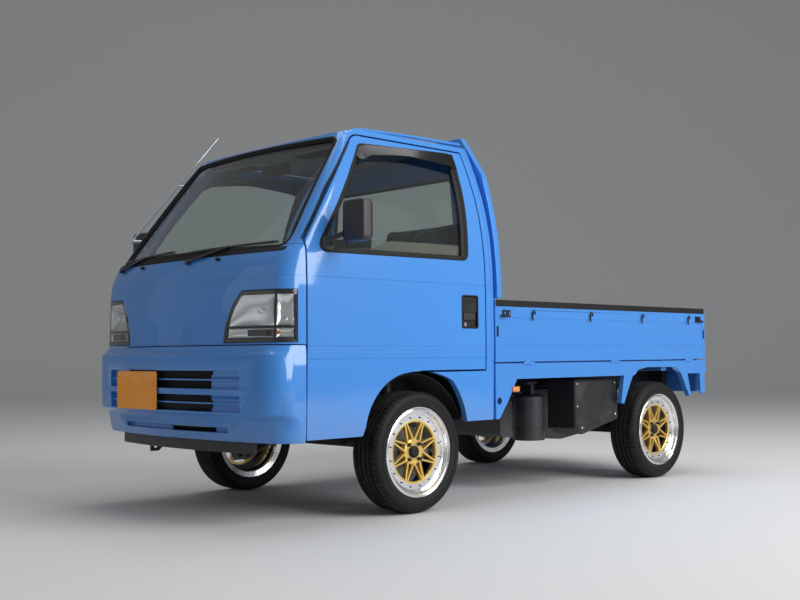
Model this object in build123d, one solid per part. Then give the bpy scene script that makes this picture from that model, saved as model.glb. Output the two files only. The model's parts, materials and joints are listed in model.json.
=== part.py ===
from build123d import *
from math import cos, radians, sin
import os

# Forward-control kei pickup truck, standing on its four wheels.
# Frame: +X forward, +Y to the truck's left, +Z up, millimetres, with the origin on the
# ground and on the centre plane. Pieces are drawn with the front at FRONT_X, and save()
# moves them so that the origin is half way along the truck's length.

os.makedirs("parts", exist_ok=True)

# Driving dimensions of the whole truck
LENGTH = 3295.0
FRONT_OVERHANG = 878.5
REAR_OVERHANG = 516.5
FRONT_X = 1647.5
REAR_X = FRONT_X - LENGTH
FRONT_AXLE_X = FRONT_X - FRONT_OVERHANG
REAR_AXLE_X = REAR_X + REAR_OVERHANG
BODY_HALF = 697.0
PANEL_T = 36.0
DOOR_T = 48.0
SHUT_GAP = 7.0
SEAT_GAP = 0.3

# Wheels and tyres, 165/55 R14
TYRE_R = 266.5
TYRE_W = 165.0
TYRE_MID_Y = BODY_HALF - 86
RIM_R = 197.0
RIM_W = 150.0
RIM_SEAT_R = 177.0
BARREL_R = 160.0
MESH_R = 141.0
HUB_R = 56.0
ARM_PAIRS = 8
ARM_LEAN = 20.5
MOUNT_Y = TYRE_MID_Y + 14
AXLE_Z = TYRE_R

# Cab: heights, seams and openings
CAB_REAR_X = 257.0
CAB_REAR_CORNER = 30.0
CAB_BOTTOM = 386.0
BELT_Z = 1142.0
NOSE_BOTTOM = 738.0
DOOR_FRONT_X = 1406.0
DOOR_REAR_X = 330.0
DOOR_LOW_Z = 350.0
DOOR_SILL_Z = 619.0
ROOF_Z = 1726.0
ROOF_HALF = BODY_HALF - 197
ROOF_SEAM_Z = 1600.0
CROWN = 38.0
GLASS_T = 6.0
GLASS_IN = 12.0
FLOOR_T = 40.0
FLOOR_Z = 440.0
PLATFORM_Z = 700.0
RISER_X = 1130.0
WHEELHOUSE_REAR_X = 440.0
WHEELHOUSE_IN_Y = TYRE_MID_Y - 239

# Bumper
PLATE_STANDOFF = 8.0
BUMPER_FRONT_X = FRONT_X - PLATE_STANDOFF
BUMPER_T = 30.0
SKIRT_BOTTOM = 298.0

# Load bed
DECK_TOP = 664.0
DECK_T = 16.0
SILL_TOP = DECK_TOP - DECK_T
SILL_BOTTOM = 572.0
SILL_Y = BODY_HALF - 7
SILL_T = 30.0
GATE_TOP = 950.0
GATE_T = 28.0
GATE_OUT_Y = BODY_HALF - 11
GATE_FRONT_X = 251.0
GATE_AXIS_Y = BODY_HALF - 5.5
GATE_BARREL_R = 5.5
GATE_LIFT = 6.5
GATE_REAR_X = REAR_X + 11.5
TAIL_OUT_X = REAR_X + 11
TAIL_AXIS_X = REAR_X + GATE_BARREL_R
HEADBOARD_T = 30.0
HOOP_TOP = 1753.0
HOOP_W = 40.0
HOOP_T = 34.0

# Ladder frame
RAIL_IN_Y = 300.0
RAIL_W = 50.0
RAIL_H = 78.0
BED_RAIL_TOP = 592.0
CAB_RAIL_TOP = FLOOR_Z - FLOOR_T

# Steering
KINGPIN_Y = TYRE_MID_Y - 36
STRUT_Y = TYRE_MID_Y - 133
STRUT_R = 24.0
TOE_INSET = 66.0

# Rear springs, and the frame's cross tubes as X, Z
SPRING_Y = 425.0
SPRING_FRONT_X = REAR_AXLE_X + 441
SPRING_REAR_X = REAR_AXLE_X - 439
SPRING_EYE_Z = 410.0
DRUM_R = 105.0
CROSS_TUBES = (
    (1440, 361), (1010, 364), (430, 381), (60, 553), (REAR_AXLE_X + 201, 553), (REAR_X + 87.5, 553),
)
CROSS_TUBE_R = 26.0
TOW_EYE = (1468.0, 289.0)
TOW_EYE_R = 14.0
TOW_EYE_T = 14.0

# Number plate
PLATE_W = 330.0
PLATE_H = 165.0
PLATE_Y = -195.0
PLATE_Z = 547.0


# Building helpers
def outline(*edges):
    """Flat face in the XY plane from edges that close, in order."""
    return make_face(Curve() + [*edges])


def polygon(points, radius=0.0):
    """Closed polygon, with every corner rounded where a radius is given."""
    face = outline(Polyline(*points, close=True))
    return fillet(face.vertices(), radius) if radius else face


def across_y(face, low, high):
    """Solid between two Y planes from a face drawn in (X, Z)."""
    plane = Plane(origin=(0, high, 0), x_dir=(1, 0, 0), z_dir=(0, -1, 0))
    return extrude(plane * face, amount=high - low)


def along_x(face, low, high):
    """Solid between two X planes from a face drawn in (Y, Z)."""
    plane = Plane(origin=(low, 0, 0), x_dir=(0, 1, 0), z_dir=(1, 0, 0))
    return extrude(plane * face, amount=high - low)


def block(x, y, z):
    """Box between pairs of limits."""
    size = [abs(pair[1] - pair[0]) for pair in (x, y, z)]
    middle = [(pair[1] + pair[0]) / 2 for pair in (x, y, z)]
    return Pos(*middle) * Box(*size)


def rod(start, end, radius):
    """Round bar between two points."""
    start, end = Vector(*start), Vector(*end)
    way = end - start
    return extrude(Plane(origin=start, z_dir=way) * Circle(radius), amount=way.length)


def mirrored(solid):
    """The same piece on the other side of the centre plane."""
    return mirror(solid, about=Plane.XZ)


def both_sides(solid):
    """The piece and its mirror image."""
    return solid + mirrored(solid)


def save(name, solid):
    """One STEP file for each piece, moved to the origin half way along."""
    solid = Pos(-(FRONT_X + REAR_X) / 2, 0, 0) * solid
    solid.label = name
    export_step(solid, f"parts/{name}.step")


# Body forms. Each row is one level of the cab: height, half width, X of the front on the
# centre line, X where the front's arc meets the side, corner radius
LOWER_LEVELS = (
    (300, BODY_HALF - 9, 1572, 1510, 90),
    (NOSE_BOTTOM, BODY_HALF, 1602, 1521, 90),
    (960, BODY_HALF, 1599, 1513, 90),
    (1020, BODY_HALF - 1, 1586, 1509, 90),
    (1060, BODY_HALF - 2, 1576, 1494, 90),
    (1105, BODY_HALF - 4, 1555, 1476, 84),
)
# Above the belt the front is the windscreen's own straight lean: height, fall from the
# body's half width, corner
# radius. Each screen line is X at its foot and its lean, for the nose and for the side
SCREEN_LINES = ((1537.0, 0.778), (1434.0, 0.682))
UPPER_LEVELS = (
    (BELT_Z, 7, 72),
    (1240, 18, 68),
    (1340, 37, 63),
    (1440, 65, 58),
    (1530, 99, 53),
    (1600, 128, 48),
    (1660, 156, 44),
    (1710, 186, 42),
    (1760, 223, 40),
)
CAB_LEVELS = LOWER_LEVELS + tuple(
    (z, BODY_HALF - fall, *(x - lean * (z - BELT_Z) for x, lean in SCREEN_LINES), corner)
    for z, fall, corner in UPPER_LEVELS
)
# Bumper levels, with the same columns
BUMPER_LEVELS = (
    (345, BODY_HALF - 7, 1586, 1507, 110),
    (380, BODY_HALF - 2, 1606, 1512, 110),
    (440, BODY_HALF - 1, 1611, 1524, 110),
    (457, BODY_HALF, BUMPER_FRONT_X - 3, 1558, 110),
    (560, BODY_HALF, BUMPER_FRONT_X, 1562, 110),
    (700, BODY_HALF, BUMPER_FRONT_X - 4, 1563, 110),
    (708, BODY_HALF - 1, BUMPER_FRONT_X - 14, 1552, 110),
    (735, BODY_HALF - 4, 1616, 1524, 110),
)


def level(row, inset, rear_x, rear_corner):
    """Plan outline of one level, drawn in by the inset all round."""
    z, half, nose_x, side_x, corner = row
    y, nose, side, back = half - inset, nose_x - inset, side_x - inset, rear_x + inset
    face = outline(
        Polyline((side, y), (back, y), (back, -y), (side, -y)),
        ThreePointArc((side, -y), (nose, 0), (side, y)),
    )
    face = fillet(face.vertices().sort_by(Axis.X)[-2:], corner)
    face = fillet(face.vertices().sort_by(Axis.X)[:2], rear_corner)
    return Pos(0, 0, z) * face


def roof_limit(inset):
    """Everything under the roof: a long arc from the windscreen back, crowned across."""
    top = ROOF_Z - inset
    back = CAB_REAR_X - 20
    side = outline(
        Polyline((1180 - inset, 1640 - inset), (1900, 1500), (1900, 200), (back, 200), (back, top)),
        ThreePointArc((back, top), (820, top - 12), (1180 - inset, 1640 - inset)),
    )
    crown = outline(
        Polyline((800, top - 2.2 * CROWN), (800, 200), (-800, 200), (-800, top - 2.2 * CROWN)),
        ThreePointArc((-800, top - 2.2 * CROWN), (0, top), (800, top - 2.2 * CROWN)),
    )
    return across_y(side, -900, 900) & along_x(crown, 0, 2000)


def cab_form(inset):
    """Whole cab as one closed form, drawn in by the inset."""
    rows = [level(row, inset, CAB_REAR_X, CAB_REAR_CORNER) for row in CAB_LEVELS]
    return loft(rows, ruled=True) & roof_limit(inset)


CAB_OUT = cab_form(0)
CAB_IN = cab_form(PANEL_T)
DOOR_IN = cab_form(DOOR_T)
CAB_SHELL = CAB_OUT - CAB_IN

# Openings, drawn in the side view (X, Z) and in the front view (Y, Z)
ARCH_FACE = outline(
    Polyline((458, 200), (458, 388)),
    ThreePointArc((458, 388), (500, 500), (556, 575)),
    ThreePointArc((556, 575), (700, 615), (850, 613)),
    ThreePointArc((850, 613), (1010, 535), (1084, 393)),
    Polyline((1084, 393), (1128, 300), (1128, 200), (458, 200)),
)


def door_face(grow):
    """Door outline in the side view, grown outwards by half the shut gap."""
    front = DOOR_FRONT_X + grow
    rear = DOOR_REAR_X - grow
    low, sill = DOOR_LOW_Z - grow, DOOR_SILL_Z - grow
    return outline(
        Polyline((rear, 1660 + grow), (rear, sill), (760, sill), (900, 300), (1060, 300)),
        Polyline((1060, 300), (1060, low), (front, low), (front, 1158)),
        ThreePointArc((front, 1158), (1246 + grow, 1390 + grow), (1060 + grow, 1618 + grow)),
        ThreePointArc((1060 + grow, 1618 + grow), (1025, 1650 + grow), (975, 1658 + grow)),
        Polyline((975, 1658 + grow), (rear, 1660 + grow)),
    )


WINDOW_FACE = polygon([(1352, 1120), (1003, 1612), (398, 1640), (450, 1130)], 34)
SCREEN_HALF = (BODY_HALF - 63, BODY_HALF - 163)
SCREEN_FACE = polygon([
    (-SCREEN_HALF[0], 1136), (SCREEN_HALF[0], 1136), (SCREEN_HALF[1], 1638), (-SCREEN_HALF[1], 1638),
], 46)
PANE_HALF = (BODY_HALF - 227, BODY_HALF - 267)
REAR_WINDOW_FACE = polygon([
    (-PANE_HALF[0], 1150), (PANE_HALF[0], 1150), (PANE_HALF[1], 1560), (-PANE_HALF[1], 1560),
], 45)
LAMP_INNER_Y = BODY_HALF - 331
LAMP_TOP = 957.0
LAMP_BOTTOM = 746.0
LAMP_BACK_X = 1452.0
LAMP_FACE = outline(
    ThreePointArc((LAMP_INNER_Y, LAMP_BOTTOM), (LAMP_INNER_Y + 24, 845), (LAMP_INNER_Y + 81, 936)),
    Polyline(
        (LAMP_INNER_Y + 81, 936), (LAMP_INNER_Y + 104, LAMP_TOP), (BODY_HALF + 63, LAMP_TOP),
        (BODY_HALF + 63, LAMP_BOTTOM), (LAMP_INNER_Y, LAMP_BOTTOM),
    ),
)
LAMP_PRISM = along_x(LAMP_FACE, LAMP_BACK_X, 1800)
LAMP_PRISMS = both_sides(LAMP_PRISM)


DRIP_R = 7.0
# Gutter over the left door: X, distance in from the body's side, Z
DRIP_LINE = ((1064, 161, 1655), (994, 177, 1684), (928, 183, 1694), (595, 194, 1707), (292, 193, 1710))


def drip_rail():
    """Gutter along the left edge of the roof."""
    points = [(x, BODY_HALF - inwards, z) for x, inwards, z in DRIP_LINE]
    rail = rod(points[0], points[1], DRIP_R)
    for start, end in zip(points[1:], points[2:]):
        rail += Pos(*start) * Sphere(DRIP_R)
        rail += rod(start, end, DRIP_R)
    return rail


def cab_shell_pieces():
    """Outer shell of the cab, cut and then split where its panels meet."""
    door_hole = across_y(door_face(SHUT_GAP / 2), ROOF_HALF, 900)
    shell = CAB_SHELL - both_sides(door_hole)
    shell -= both_sides(across_y(ARCH_FACE, 300, 900))
    shell -= along_x(SCREEN_FACE, 1000, 1800)
    shell -= along_x(REAR_WINDOW_FACE, CAB_REAR_X - 10, CAB_REAR_X + 100)
    shell &= block((0, 2000), (-900, 900), (CAB_BOTTOM, 1900))
    nose_zone = block((DOOR_FRONT_X - 20, 2000), (-900, 900), (NOSE_BOTTOM, BELT_Z))
    under = PLATFORM_Z - FLOOR_T
    back_zone = block((0, CAB_REAR_X + PANEL_T), (-900, 900), (under, 2000))
    shell -= block((0, 1000), (PANEL_T - BODY_HALF, BODY_HALF - PANEL_T), (0, under))
    roof_zone = block((0, 2000), (-ROOF_HALF, ROOF_HALF), (ROOF_SEAM_Z, 2000))
    nose = shell & nose_zone
    back = (shell - nose_zone) & back_zone
    roof = (shell - nose_zone - back_zone) & roof_zone
    side_zone = block((0, 2000), (0, 900), (0, 2000))
    rest = shell - nose_zone - back_zone - roof_zone
    rest += both_sides(drip_rail() & block((0, 2000), (ROOF_HALF, 900), (0, 2000)))
    rest -= block((DOOR_FRONT_X - 20, 2000), (-900, 900), (0, NOSE_BOTTOM))
    return nose, back, roof, rest & side_zone


TOE_ROW = LOWER_LEVELS[1]


def plan_form(inset, low, high):
    """Upright block with the cab's plan outline at the seam under the nose."""
    face = Pos(0, 0, low - TOE_ROW[0]) * level(TOE_ROW, inset, CAB_REAR_X, CAB_REAR_CORNER)
    return extrude(face, amount=high - low)


def nose_panel(nose):
    """Front panel with lamp openings, a toe board behind the bumper and hinge leaves."""
    front = block((DOOR_FRONT_X + SHUT_GAP / 2, 2000), (-900, 900), (0, 2000))
    toe_in = plan_form(TOE_INSET + PANEL_T, CAB_RAIL_TOP - 10, 900)
    toe = plan_form(TOE_INSET, CAB_RAIL_TOP, LAMP_BOTTOM) - toe_in
    ledge = plan_form(10, NOSE_BOTTOM, LAMP_BOTTOM) - toe_in
    panel = (nose - LAMP_PRISMS) + ((toe + ledge) & front)
    for z in (790, 1040):
        y = (BODY_HALF - 57, BODY_HALF - 29)
        leaf = block((DOOR_FRONT_X - SHUT_GAP / 2 + SEAT_GAP, DOOR_FRONT_X + 40), y, (z, z + 60))
        panel += both_sides(leaf)
    return panel


def headlamps():
    """Lens and housing of each lamp, filling its opening in the nose panel."""
    return both_sides(CAB_SHELL & LAMP_PRISM)


def bumper_shell(inset):
    """Bumper's form drawn in by the inset."""
    return loft([level(row, inset, 1200, 40) for row in BUMPER_LEVELS], ruled=True)


BUMPER_FORM = bumper_shell(0)
RECESS_DEPTH = 20.0
RIB_DEPTH = 9.0
# Slots in the bumper: lower edge, upper edge, half length, ends of the part that is open
BUMPER_SLOTS = ((560, 633, 503, -316, 316), (467, 534, 503, -316, 316), (381, 402, 395, 0, 302))


def bumper():
    """Wrap-round bumper with a top ledge and three slots, recessed at their ends and open between."""
    low, high = BUMPER_LEVELS[0][0], BUMPER_LEVELS[-1][0]
    inner = bumper_shell(BUMPER_T)
    floor_form = bumper_shell(RECESS_DEPTH) - inner
    ledge = BUMPER_FORM & block((0, 2000), (-900, 900), (high - BUMPER_T, high))
    ledge -= plan_form(TOE_INSET, 600, 800)
    shell = (BUMPER_FORM - inner) + ledge
    shell &= block((DOOR_FRONT_X + SHUT_GAP / 2, 2000), (-900, 900), (low, high))
    for bottom, top, half, open_from, open_to in BUMPER_SLOTS:
        slot = polygon([(-half, bottom), (half, bottom), (half, top), (-half, top)], 8)
        shell -= along_x(slot, 1500, 1800)
        for y in ((-half - 1, open_from), (open_to, half + 1)):
            shell += floor_form & block((1500, 1800), y, (bottom - 1, top + 1))
    rib_form = bumper_shell(RIB_DEPTH) - inner
    for bottom, top, half, *_ in BUMPER_SLOTS[:2]:
        middle = (bottom + top) / 2
        shell += rib_form & block((1500, 1800), (-half - 1, half + 1), (middle - 4, middle + 4))
    return shell


def bumper_skirt():
    """Black air dam under the bumper."""
    row = BUMPER_LEVELS[0]
    ring = level(row, 14, 1200, 40) - level(row, 34, 1200, 40)
    dam = extrude(Pos(0, 0, SKIRT_BOTTOM - row[0]) * ring, amount=row[0] - SKIRT_BOTTOM)
    return dam & block((1450, 2000), (-500, 500), (0, 400))


# Glass
GLASS_OUT = cab_form(GLASS_IN)
GLASS_BACK = cab_form(GLASS_IN + GLASS_T)


def windscreen():
    """Curved front glass in its opening."""
    return (GLASS_OUT & along_x(SCREEN_FACE, 1000, 1800)) - GLASS_BACK


def rear_window():
    """Flat pane in the cab's back wall."""
    return along_x(REAR_WINDOW_FACE, CAB_REAR_X + GLASS_IN, CAB_REAR_X + GLASS_IN + GLASS_T)


def number_plate():
    """Blank plate on a bracket that seats on the bumper's front."""
    y = (PLATE_Y - PLATE_W / 2, PLATE_Y + PLATE_W / 2)
    plate = block((FRONT_X - 2, FRONT_X), y, (PLATE_Z - PLATE_H / 2, PLATE_Z + PLATE_H / 2))
    bracket = block((FRONT_X - 40, FRONT_X - 2), (PLATE_Y - 90, PLATE_Y + 90), (537, 557)) - BUMPER_FORM
    return plate + bracket


# Wipers: pivot and joint of the arm, then the blade's two ends, all as Y, Z
WIPERS = (
    ((-554, 1103), (-330, 1150), (-580, 1144), (-95, 1157)),
    ((84, 1099), (322, 1150), (70, 1144), (560, 1157)),
)
# Distances inside the cab's form of the top and the underside of the arms
ARM_TOP = -14.0
ARM_UNDER = -5.0


def bar(start, end, width):
    """Straight strip between two points of a view, with round ends."""
    way = Vector(*end) - Vector(*start)
    across = Vector(-way.Y, way.X) * (width / 2 / way.length)
    corners = [Vector(*start) + across, Vector(*end) + across, Vector(*end) - across, Vector(*start) - across]
    strip = polygon([(v.X, v.Y) for v in corners])
    return strip + Pos(*start) * Circle(width / 2) + Pos(*end) * Circle(width / 2)


def cowl_form(inset):
    """Part of the cab's front round the foot of the windscreen, drawn in by the inset."""
    return loft([level(row, inset, 1200, 40) for row in CAB_LEVELS[4:8]], ruled=True)


def wipers():
    """Two wipers parked along the foot of the windscreen: boss, arm and blade each."""
    top, under = cowl_form(ARM_TOP), cowl_form(ARM_UNDER)
    arm_layer, boss_layer = top - under, top - cowl_form(-SEAT_GAP)
    blade_layer = under - cowl_form(GLASS_IN - SEAT_GAP)
    found = []
    for pivot, joint, start, end in WIPERS:
        wiper = boss_layer & along_x(Pos(*pivot) * Circle(13), 1300, 1700)
        wiper += arm_layer & along_x(bar(pivot, joint, 11), 1300, 1700)
        wiper += blade_layer & along_x(bar(start, end, 9), 1300, 1700)
        found.append(wiper)
    return Compound(found)


# Aerial along the right windscreen pillar: foot and tip of the mast, then for each bracket
# its distance up the mast as a share of the length, and its radius
AERIAL_FOOT = (1403.0, 32 - BODY_HALF, 1251.0)
AERIAL_TIP = (1000.0, 185 - BODY_HALF, 1794.0)
AERIAL_BRACKETS = ((0.015, 8.0), (0.54, 6.0))
AERIAL_JOINT = 0.6


def aerial():
    """Mast of two tubes that stands off the pillar on two brackets."""
    foot, tip = Vector(*AERIAL_FOOT), Vector(*AERIAL_TIP)
    way = tip - foot
    joint = foot + way * AERIAL_JOINT
    mast = rod(foot, joint, 5) + rod(joint, tip, 3) + Pos(*AERIAL_TIP) * Sphere(5)
    for share, radius in AERIAL_BRACKETS:
        place = foot + way * share
        mast += rod(place, place + Vector(-61, 38, -4), radius) - CAB_OUT
        mast += rod(place - way.normalized() * 12, place + way.normalized() * 12, radius)
    return mast


# Doors
HANDLE_FACE = polygon([(385, 812), (495, 812), (495, 964), (385, 964)], 12)
MIRROR_X = 1240.0
MIRROR_Y = BODY_HALF + 118
MIRROR_Z = 1237.0


def door_shell():
    """Left door: as thick as the whole door, with its window and handle pocket cut."""
    shell = (CAB_OUT & across_y(door_face(-SHUT_GAP / 2), ROOF_HALF + 5, 900)) - DOOR_IN
    shell -= across_y(ARCH_FACE, 300, 900)
    shell -= across_y(WINDOW_FACE, 300, 900)
    return shell - (across_y(HANDLE_FACE, 300, 900) - GLASS_BACK)


def door_glass():
    """Left door's glass in its opening."""
    return (GLASS_OUT & across_y(WINDOW_FACE, 300, 900)) - GLASS_BACK


def door_fittings():
    """Handle plate with its paddle in the pocket, and the mirror on its arm."""
    plate = (across_y(HANDLE_FACE, 300, 900) & GLASS_OUT) - GLASS_BACK
    plate += block((400, 480), (BODY_HALF - GLASS_IN - 2, BODY_HALF - 3), (850, 900))
    head = fillet(Box(64, 130, 172).edges(), 20)
    head = Pos(MIRROR_X, MIRROR_Y, MIRROR_Z) * head
    arm = rod((1308, BODY_HALF - 21, 1152), (MIRROR_X + 5, MIRROR_Y - 40, MIRROR_Z - 40), 11)
    foot = polygon([(1360, 1100), (1258, 1100), (1258, 1150), (1300, 1180), (1320, 1180)], 6)
    foot = across_y(foot, BODY_HALF - 57, BODY_HALF - 3) & across_y(WINDOW_FACE, 0, 900)
    return plate + (head + ((arm + foot) - GLASS_OUT))


# Cab inside
FLOOR_HALF = BODY_HALF - DOOR_T - 19
DASH_HALF = FLOOR_HALF - 4


def cab_floor():
    """Stepped floor: footwell, riser and seat platform, with the wheelhouse walls."""
    t = FLOOR_T
    back = CAB_REAR_X + PANEL_T
    profile = polygon([
        (1600, FLOOR_Z), (RISER_X, FLOOR_Z), (RISER_X, PLATFORM_Z), (back, PLATFORM_Z),
        (back, PLATFORM_Z - t), (RISER_X - t, PLATFORM_Z - t),
        (RISER_X - t, FLOOR_Z - t), (1600, FLOOR_Z - t),
    ])
    half = FLOOR_HALF
    tread = across_y(profile, -half, half)
    inside = plan_form(TOE_INSET + PANEL_T, 300, 800) + block(
        (0, DOOR_FRONT_X - 106), (-half, half), (300, 800)
    )
    floor = tread & inside
    z = (FLOOR_Z - t, PLATFORM_Z - t)
    wall = block((WHEELHOUSE_REAR_X, RISER_X - t), (WHEELHOUSE_IN_Y - 8, WHEELHOUSE_IN_Y), z)
    rear = block((WHEELHOUSE_REAR_X - 8, WHEELHOUSE_REAR_X), (WHEELHOUSE_IN_Y - 8, half), z)
    return floor + both_sides(wall + rear)


WHEEL_CENTRE = (1110.0, -330.0, 1062.0)
COLUMN_WAY = (-0.447, 0.0, 0.894)
COLUMN_R = 22.0
HUB_DROP = 20.0


def along_column(distance):
    """Point on the steering column's axis, measured down from the wheel's centre."""
    return tuple(c - w * distance for c, w in zip(WHEEL_CENTRE, COLUMN_WAY))


def dashboard():
    """Moulded dash across the cab, cut round the steering column."""
    profile = polygon([(1600, 1098), (1230, 1092), (1172, 1050), (1180, 950), (1250, 870), (1600, 860)], 20)
    half = DASH_HALF
    dash = across_y(profile, -half, half) & CAB_IN
    dash -= both_sides(block((DOOR_FRONT_X - 80, 1700), (half - 42, half + 100), (700, 1300)))
    return dash - rod(along_column(20), along_column(700), COLUMN_R + SEAT_GAP)


def steering_column():
    """Column from the floor to just under the steering wheel."""
    column = rod(along_column(HUB_DROP + SEAT_GAP), along_column(760), COLUMN_R)
    return column & block((1000, 1600), (-500, 0), (FLOOR_Z, 1300))


def steering_wheel():
    """Rim, three spokes and hub."""
    local = Torus(183, 13) + Cylinder(44, 2 * HUB_DROP)
    for angle in (90, 210, 330):
        local += Rot(0, 0, angle) * Pos(110, 0, 0) * Box(150, 26, 10)
    return Plane(origin=WHEEL_CENTRE, z_dir=COLUMN_WAY) * local


def seats():
    """Two seats: cushion and back as one simple closed form each."""
    profile = polygon([
        (880, PLATFORM_Z), (900, PLATFORM_Z + 130), (480, PLATFORM_Z + 150), (400, 1340),
        (310, 1340), (350, PLATFORM_Z),
    ], 30)
    return both_sides(across_y(profile, 70, FLOOR_HALF - 70))


# Load bed
SIDE_HINGES = (13.0, (REAR_X + 227.5) / 2, REAR_X + 201.5)
HOOK_ENDS = (-30.0, REAR_X + 191.5)
HOOKS = [HOOK_ENDS[0] + (HOOK_ENDS[1] - HOOK_ENDS[0]) * n / 3 for n in range(4)]
TAIL_HINGES = (-450.0, 450.0)
# Rear wheel arch: distance ahead of the rear axle, height
ARCH_LINE = (
    (356, 380), (270, 544), (199, 601), (109, 614), (-171, 612), (-234, 575), (-344, 400), (-344, 380),
)


def from_axle(points):
    """Points in the side view whose first number is measured forwards from the rear axle."""
    return [(REAR_AXLE_X + x, z) for x, z in points]


REAR_ARCH = polygon(from_axle(ARCH_LINE))
DECK_REAR_X = REAR_X + 44.5
DECK_HALF = BODY_HALF - 45
BEARERS = 6
BEARER_W = 50.0


def load_deck():
    """Ribbed floor on cross bearers."""
    front, rear = GATE_FRONT_X - 1, DECK_REAR_X
    pitch = (front - 60 - rear - BEARER_W) / (BEARERS - 1)
    deck = block((rear, front), (-DECK_HALF, DECK_HALF), (SILL_TOP, DECK_TOP))
    for n in range(9):
        y = (n - 4) * (DECK_HALF - 92) / 4
        deck += block((rear + 30, front - 60), (y - 30, y + 30), (DECK_TOP, DECK_TOP + 6))
    for n in range(BEARERS):
        x = rear + n * pitch
        deck += block((x, x + BEARER_W), (SILL_T - SILL_Y, SILL_Y - SILL_T), (BED_RAIL_TOP, SILL_TOP))
    return deck


def hinge_grooves(x):
    """Room for a hinge barrel in the edge below a side gate."""
    return rod((x - 45, GATE_AXIS_Y, SILL_TOP), (x + 45, GATE_AXIS_Y, SILL_TOP), GATE_BARREL_R + 1.5)


def side_sill():
    """Panel under the side gate, with the lower quarter behind the cab and the arch legs."""
    rear = REAR_X + 15.5
    face = polygon([
        (rear, SILL_BOTTOM), (100, SILL_BOTTOM), (165, 470), (232, CAB_BOTTOM),
        (CAB_REAR_X, CAB_BOTTOM), (CAB_REAR_X, SILL_TOP), (rear, SILL_TOP),
    ])
    for leg in (
        from_axle([(331, 590), (365, 428), (341, 420), (270, 544), (236, 590)]),
        from_axle([(-219, 590), (-314, 440), (-335, 446), (-299, 590)]),
        [(rear + x, z) for x, z in ((66, 590), (60, 470), (32, 450), (13, 455), (13, 590))],
    ):
        face += polygon(leg)
    face -= REAR_ARCH
    face -= Pos(232, 471) * Circle(12)
    sill = across_y(face, SILL_Y - SILL_T, SILL_Y)
    for x in SIDE_HINGES:
        sill -= hinge_grooves(x)
        for end in (-1, 1):
            near, far = x + end * (20 + SEAT_GAP), x + end * 42
            sill += rod((near, GATE_AXIS_Y, SILL_TOP), (far, GATE_AXIS_Y, SILL_TOP), GATE_BARREL_R)
            sill += block((near, far), (SILL_Y - 20, GATE_AXIS_Y), (SILL_TOP - 12, SILL_TOP - 1))
    return sill


HOOK_Z = 893.0
HOOK_R = 11.0
HOOK_T = 9.0
HOOK_W = 5.0
HOOK_FACE = Circle(HOOK_R) - Circle(HOOK_R - HOOK_W) - Pos(0, -HOOK_R) * Rectangle(3 * HOOK_R, 2 * HOOK_R)
HOOK_FACE += Pos(HOOK_R - HOOK_W / 2, -9) * Rectangle(HOOK_W, 18)
HOOK_FACE += Pos(HOOK_W / 2 - HOOK_R, -3) * Rectangle(HOOK_W, 6)


def side_gate():
    """Left drop side: pressed panel with barrels, rope hooks and a latch."""
    low = SILL_TOP + GATE_LIFT
    inner = GATE_OUT_Y - GATE_T
    gate = block((GATE_REAR_X, GATE_FRONT_X), (inner, GATE_OUT_Y), (low, GATE_TOP))
    gate -= block((GATE_REAR_X + 30, GATE_FRONT_X - 30), (GATE_OUT_Y - 5, GATE_OUT_Y), (745, 868))
    gate -= block((GATE_REAR_X + 30, GATE_FRONT_X - 30), (GATE_OUT_Y - 5, GATE_OUT_Y), (690, 735))
    for x in SIDE_HINGES:
        gate += rod((x - 20, GATE_AXIS_Y, SILL_TOP), (x + 20, GATE_AXIS_Y, SILL_TOP), GATE_BARREL_R)
        gate += block((x - 20, x + 20), (GATE_AXIS_Y - 14, GATE_AXIS_Y), (SILL_TOP, low + 8))
    for x in HOOKS:
        gate += across_y(Pos(x, HOOK_Z) * HOOK_FACE, GATE_OUT_Y - 1, GATE_OUT_Y + HOOK_T)
    gate += block((GATE_FRONT_X - 101, GATE_FRONT_X - 61), (GATE_OUT_Y, GATE_OUT_Y + 8), (876, 894))
    return gate


def tail_gate():
    """Tail gate between the side gates."""
    low = SILL_TOP + GATE_LIFT
    half = GATE_OUT_Y - GATE_T - 8
    gate = block((TAIL_OUT_X, TAIL_OUT_X + GATE_T), (-half, half), (low, GATE_TOP))
    gate -= block((TAIL_OUT_X, TAIL_OUT_X + 5), (-half + 30, half - 30), (690, 868))
    for y in TAIL_HINGES:
        gate += rod((TAIL_AXIS_X, y - 20, SILL_TOP), (TAIL_AXIS_X, y + 20, SILL_TOP), GATE_BARREL_R)
        gate += block((TAIL_AXIS_X, TAIL_AXIS_X + 14), (y - 20, y + 20), (SILL_TOP, low + 8))
    return gate


LAMP_BAR_X = REAR_X + 21.5


def rear_panel():
    """Edge under the tail gate with its hinge knuckles, and the bar that carries the lamps."""
    rear = REAR_X + 15.5
    panel = block((rear, DECK_REAR_X), (SILL_T - SILL_Y, SILL_Y - SILL_T), (SILL_BOTTOM, SILL_TOP))
    panel += block((LAMP_BAR_X, LAMP_BAR_X + 26), (57 - BODY_HALF, BODY_HALF - 57), (462, SILL_BOTTOM))
    for y in TAIL_HINGES:
        start, end = (TAIL_AXIS_X, y - 45, SILL_TOP), (TAIL_AXIS_X, y + 45, SILL_TOP)
        panel -= rod(start, end, GATE_BARREL_R + 1.5)
        for way in (-1, 1):
            near, far = y + way * (20 + SEAT_GAP), y + way * 42
            panel += rod((TAIL_AXIS_X, near, SILL_TOP), (TAIL_AXIS_X, far, SILL_TOP), GATE_BARREL_R)
            panel += block((TAIL_AXIS_X, rear + 12), (near, far), (SILL_TOP - 12, SILL_TOP - 1))
    return panel


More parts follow.
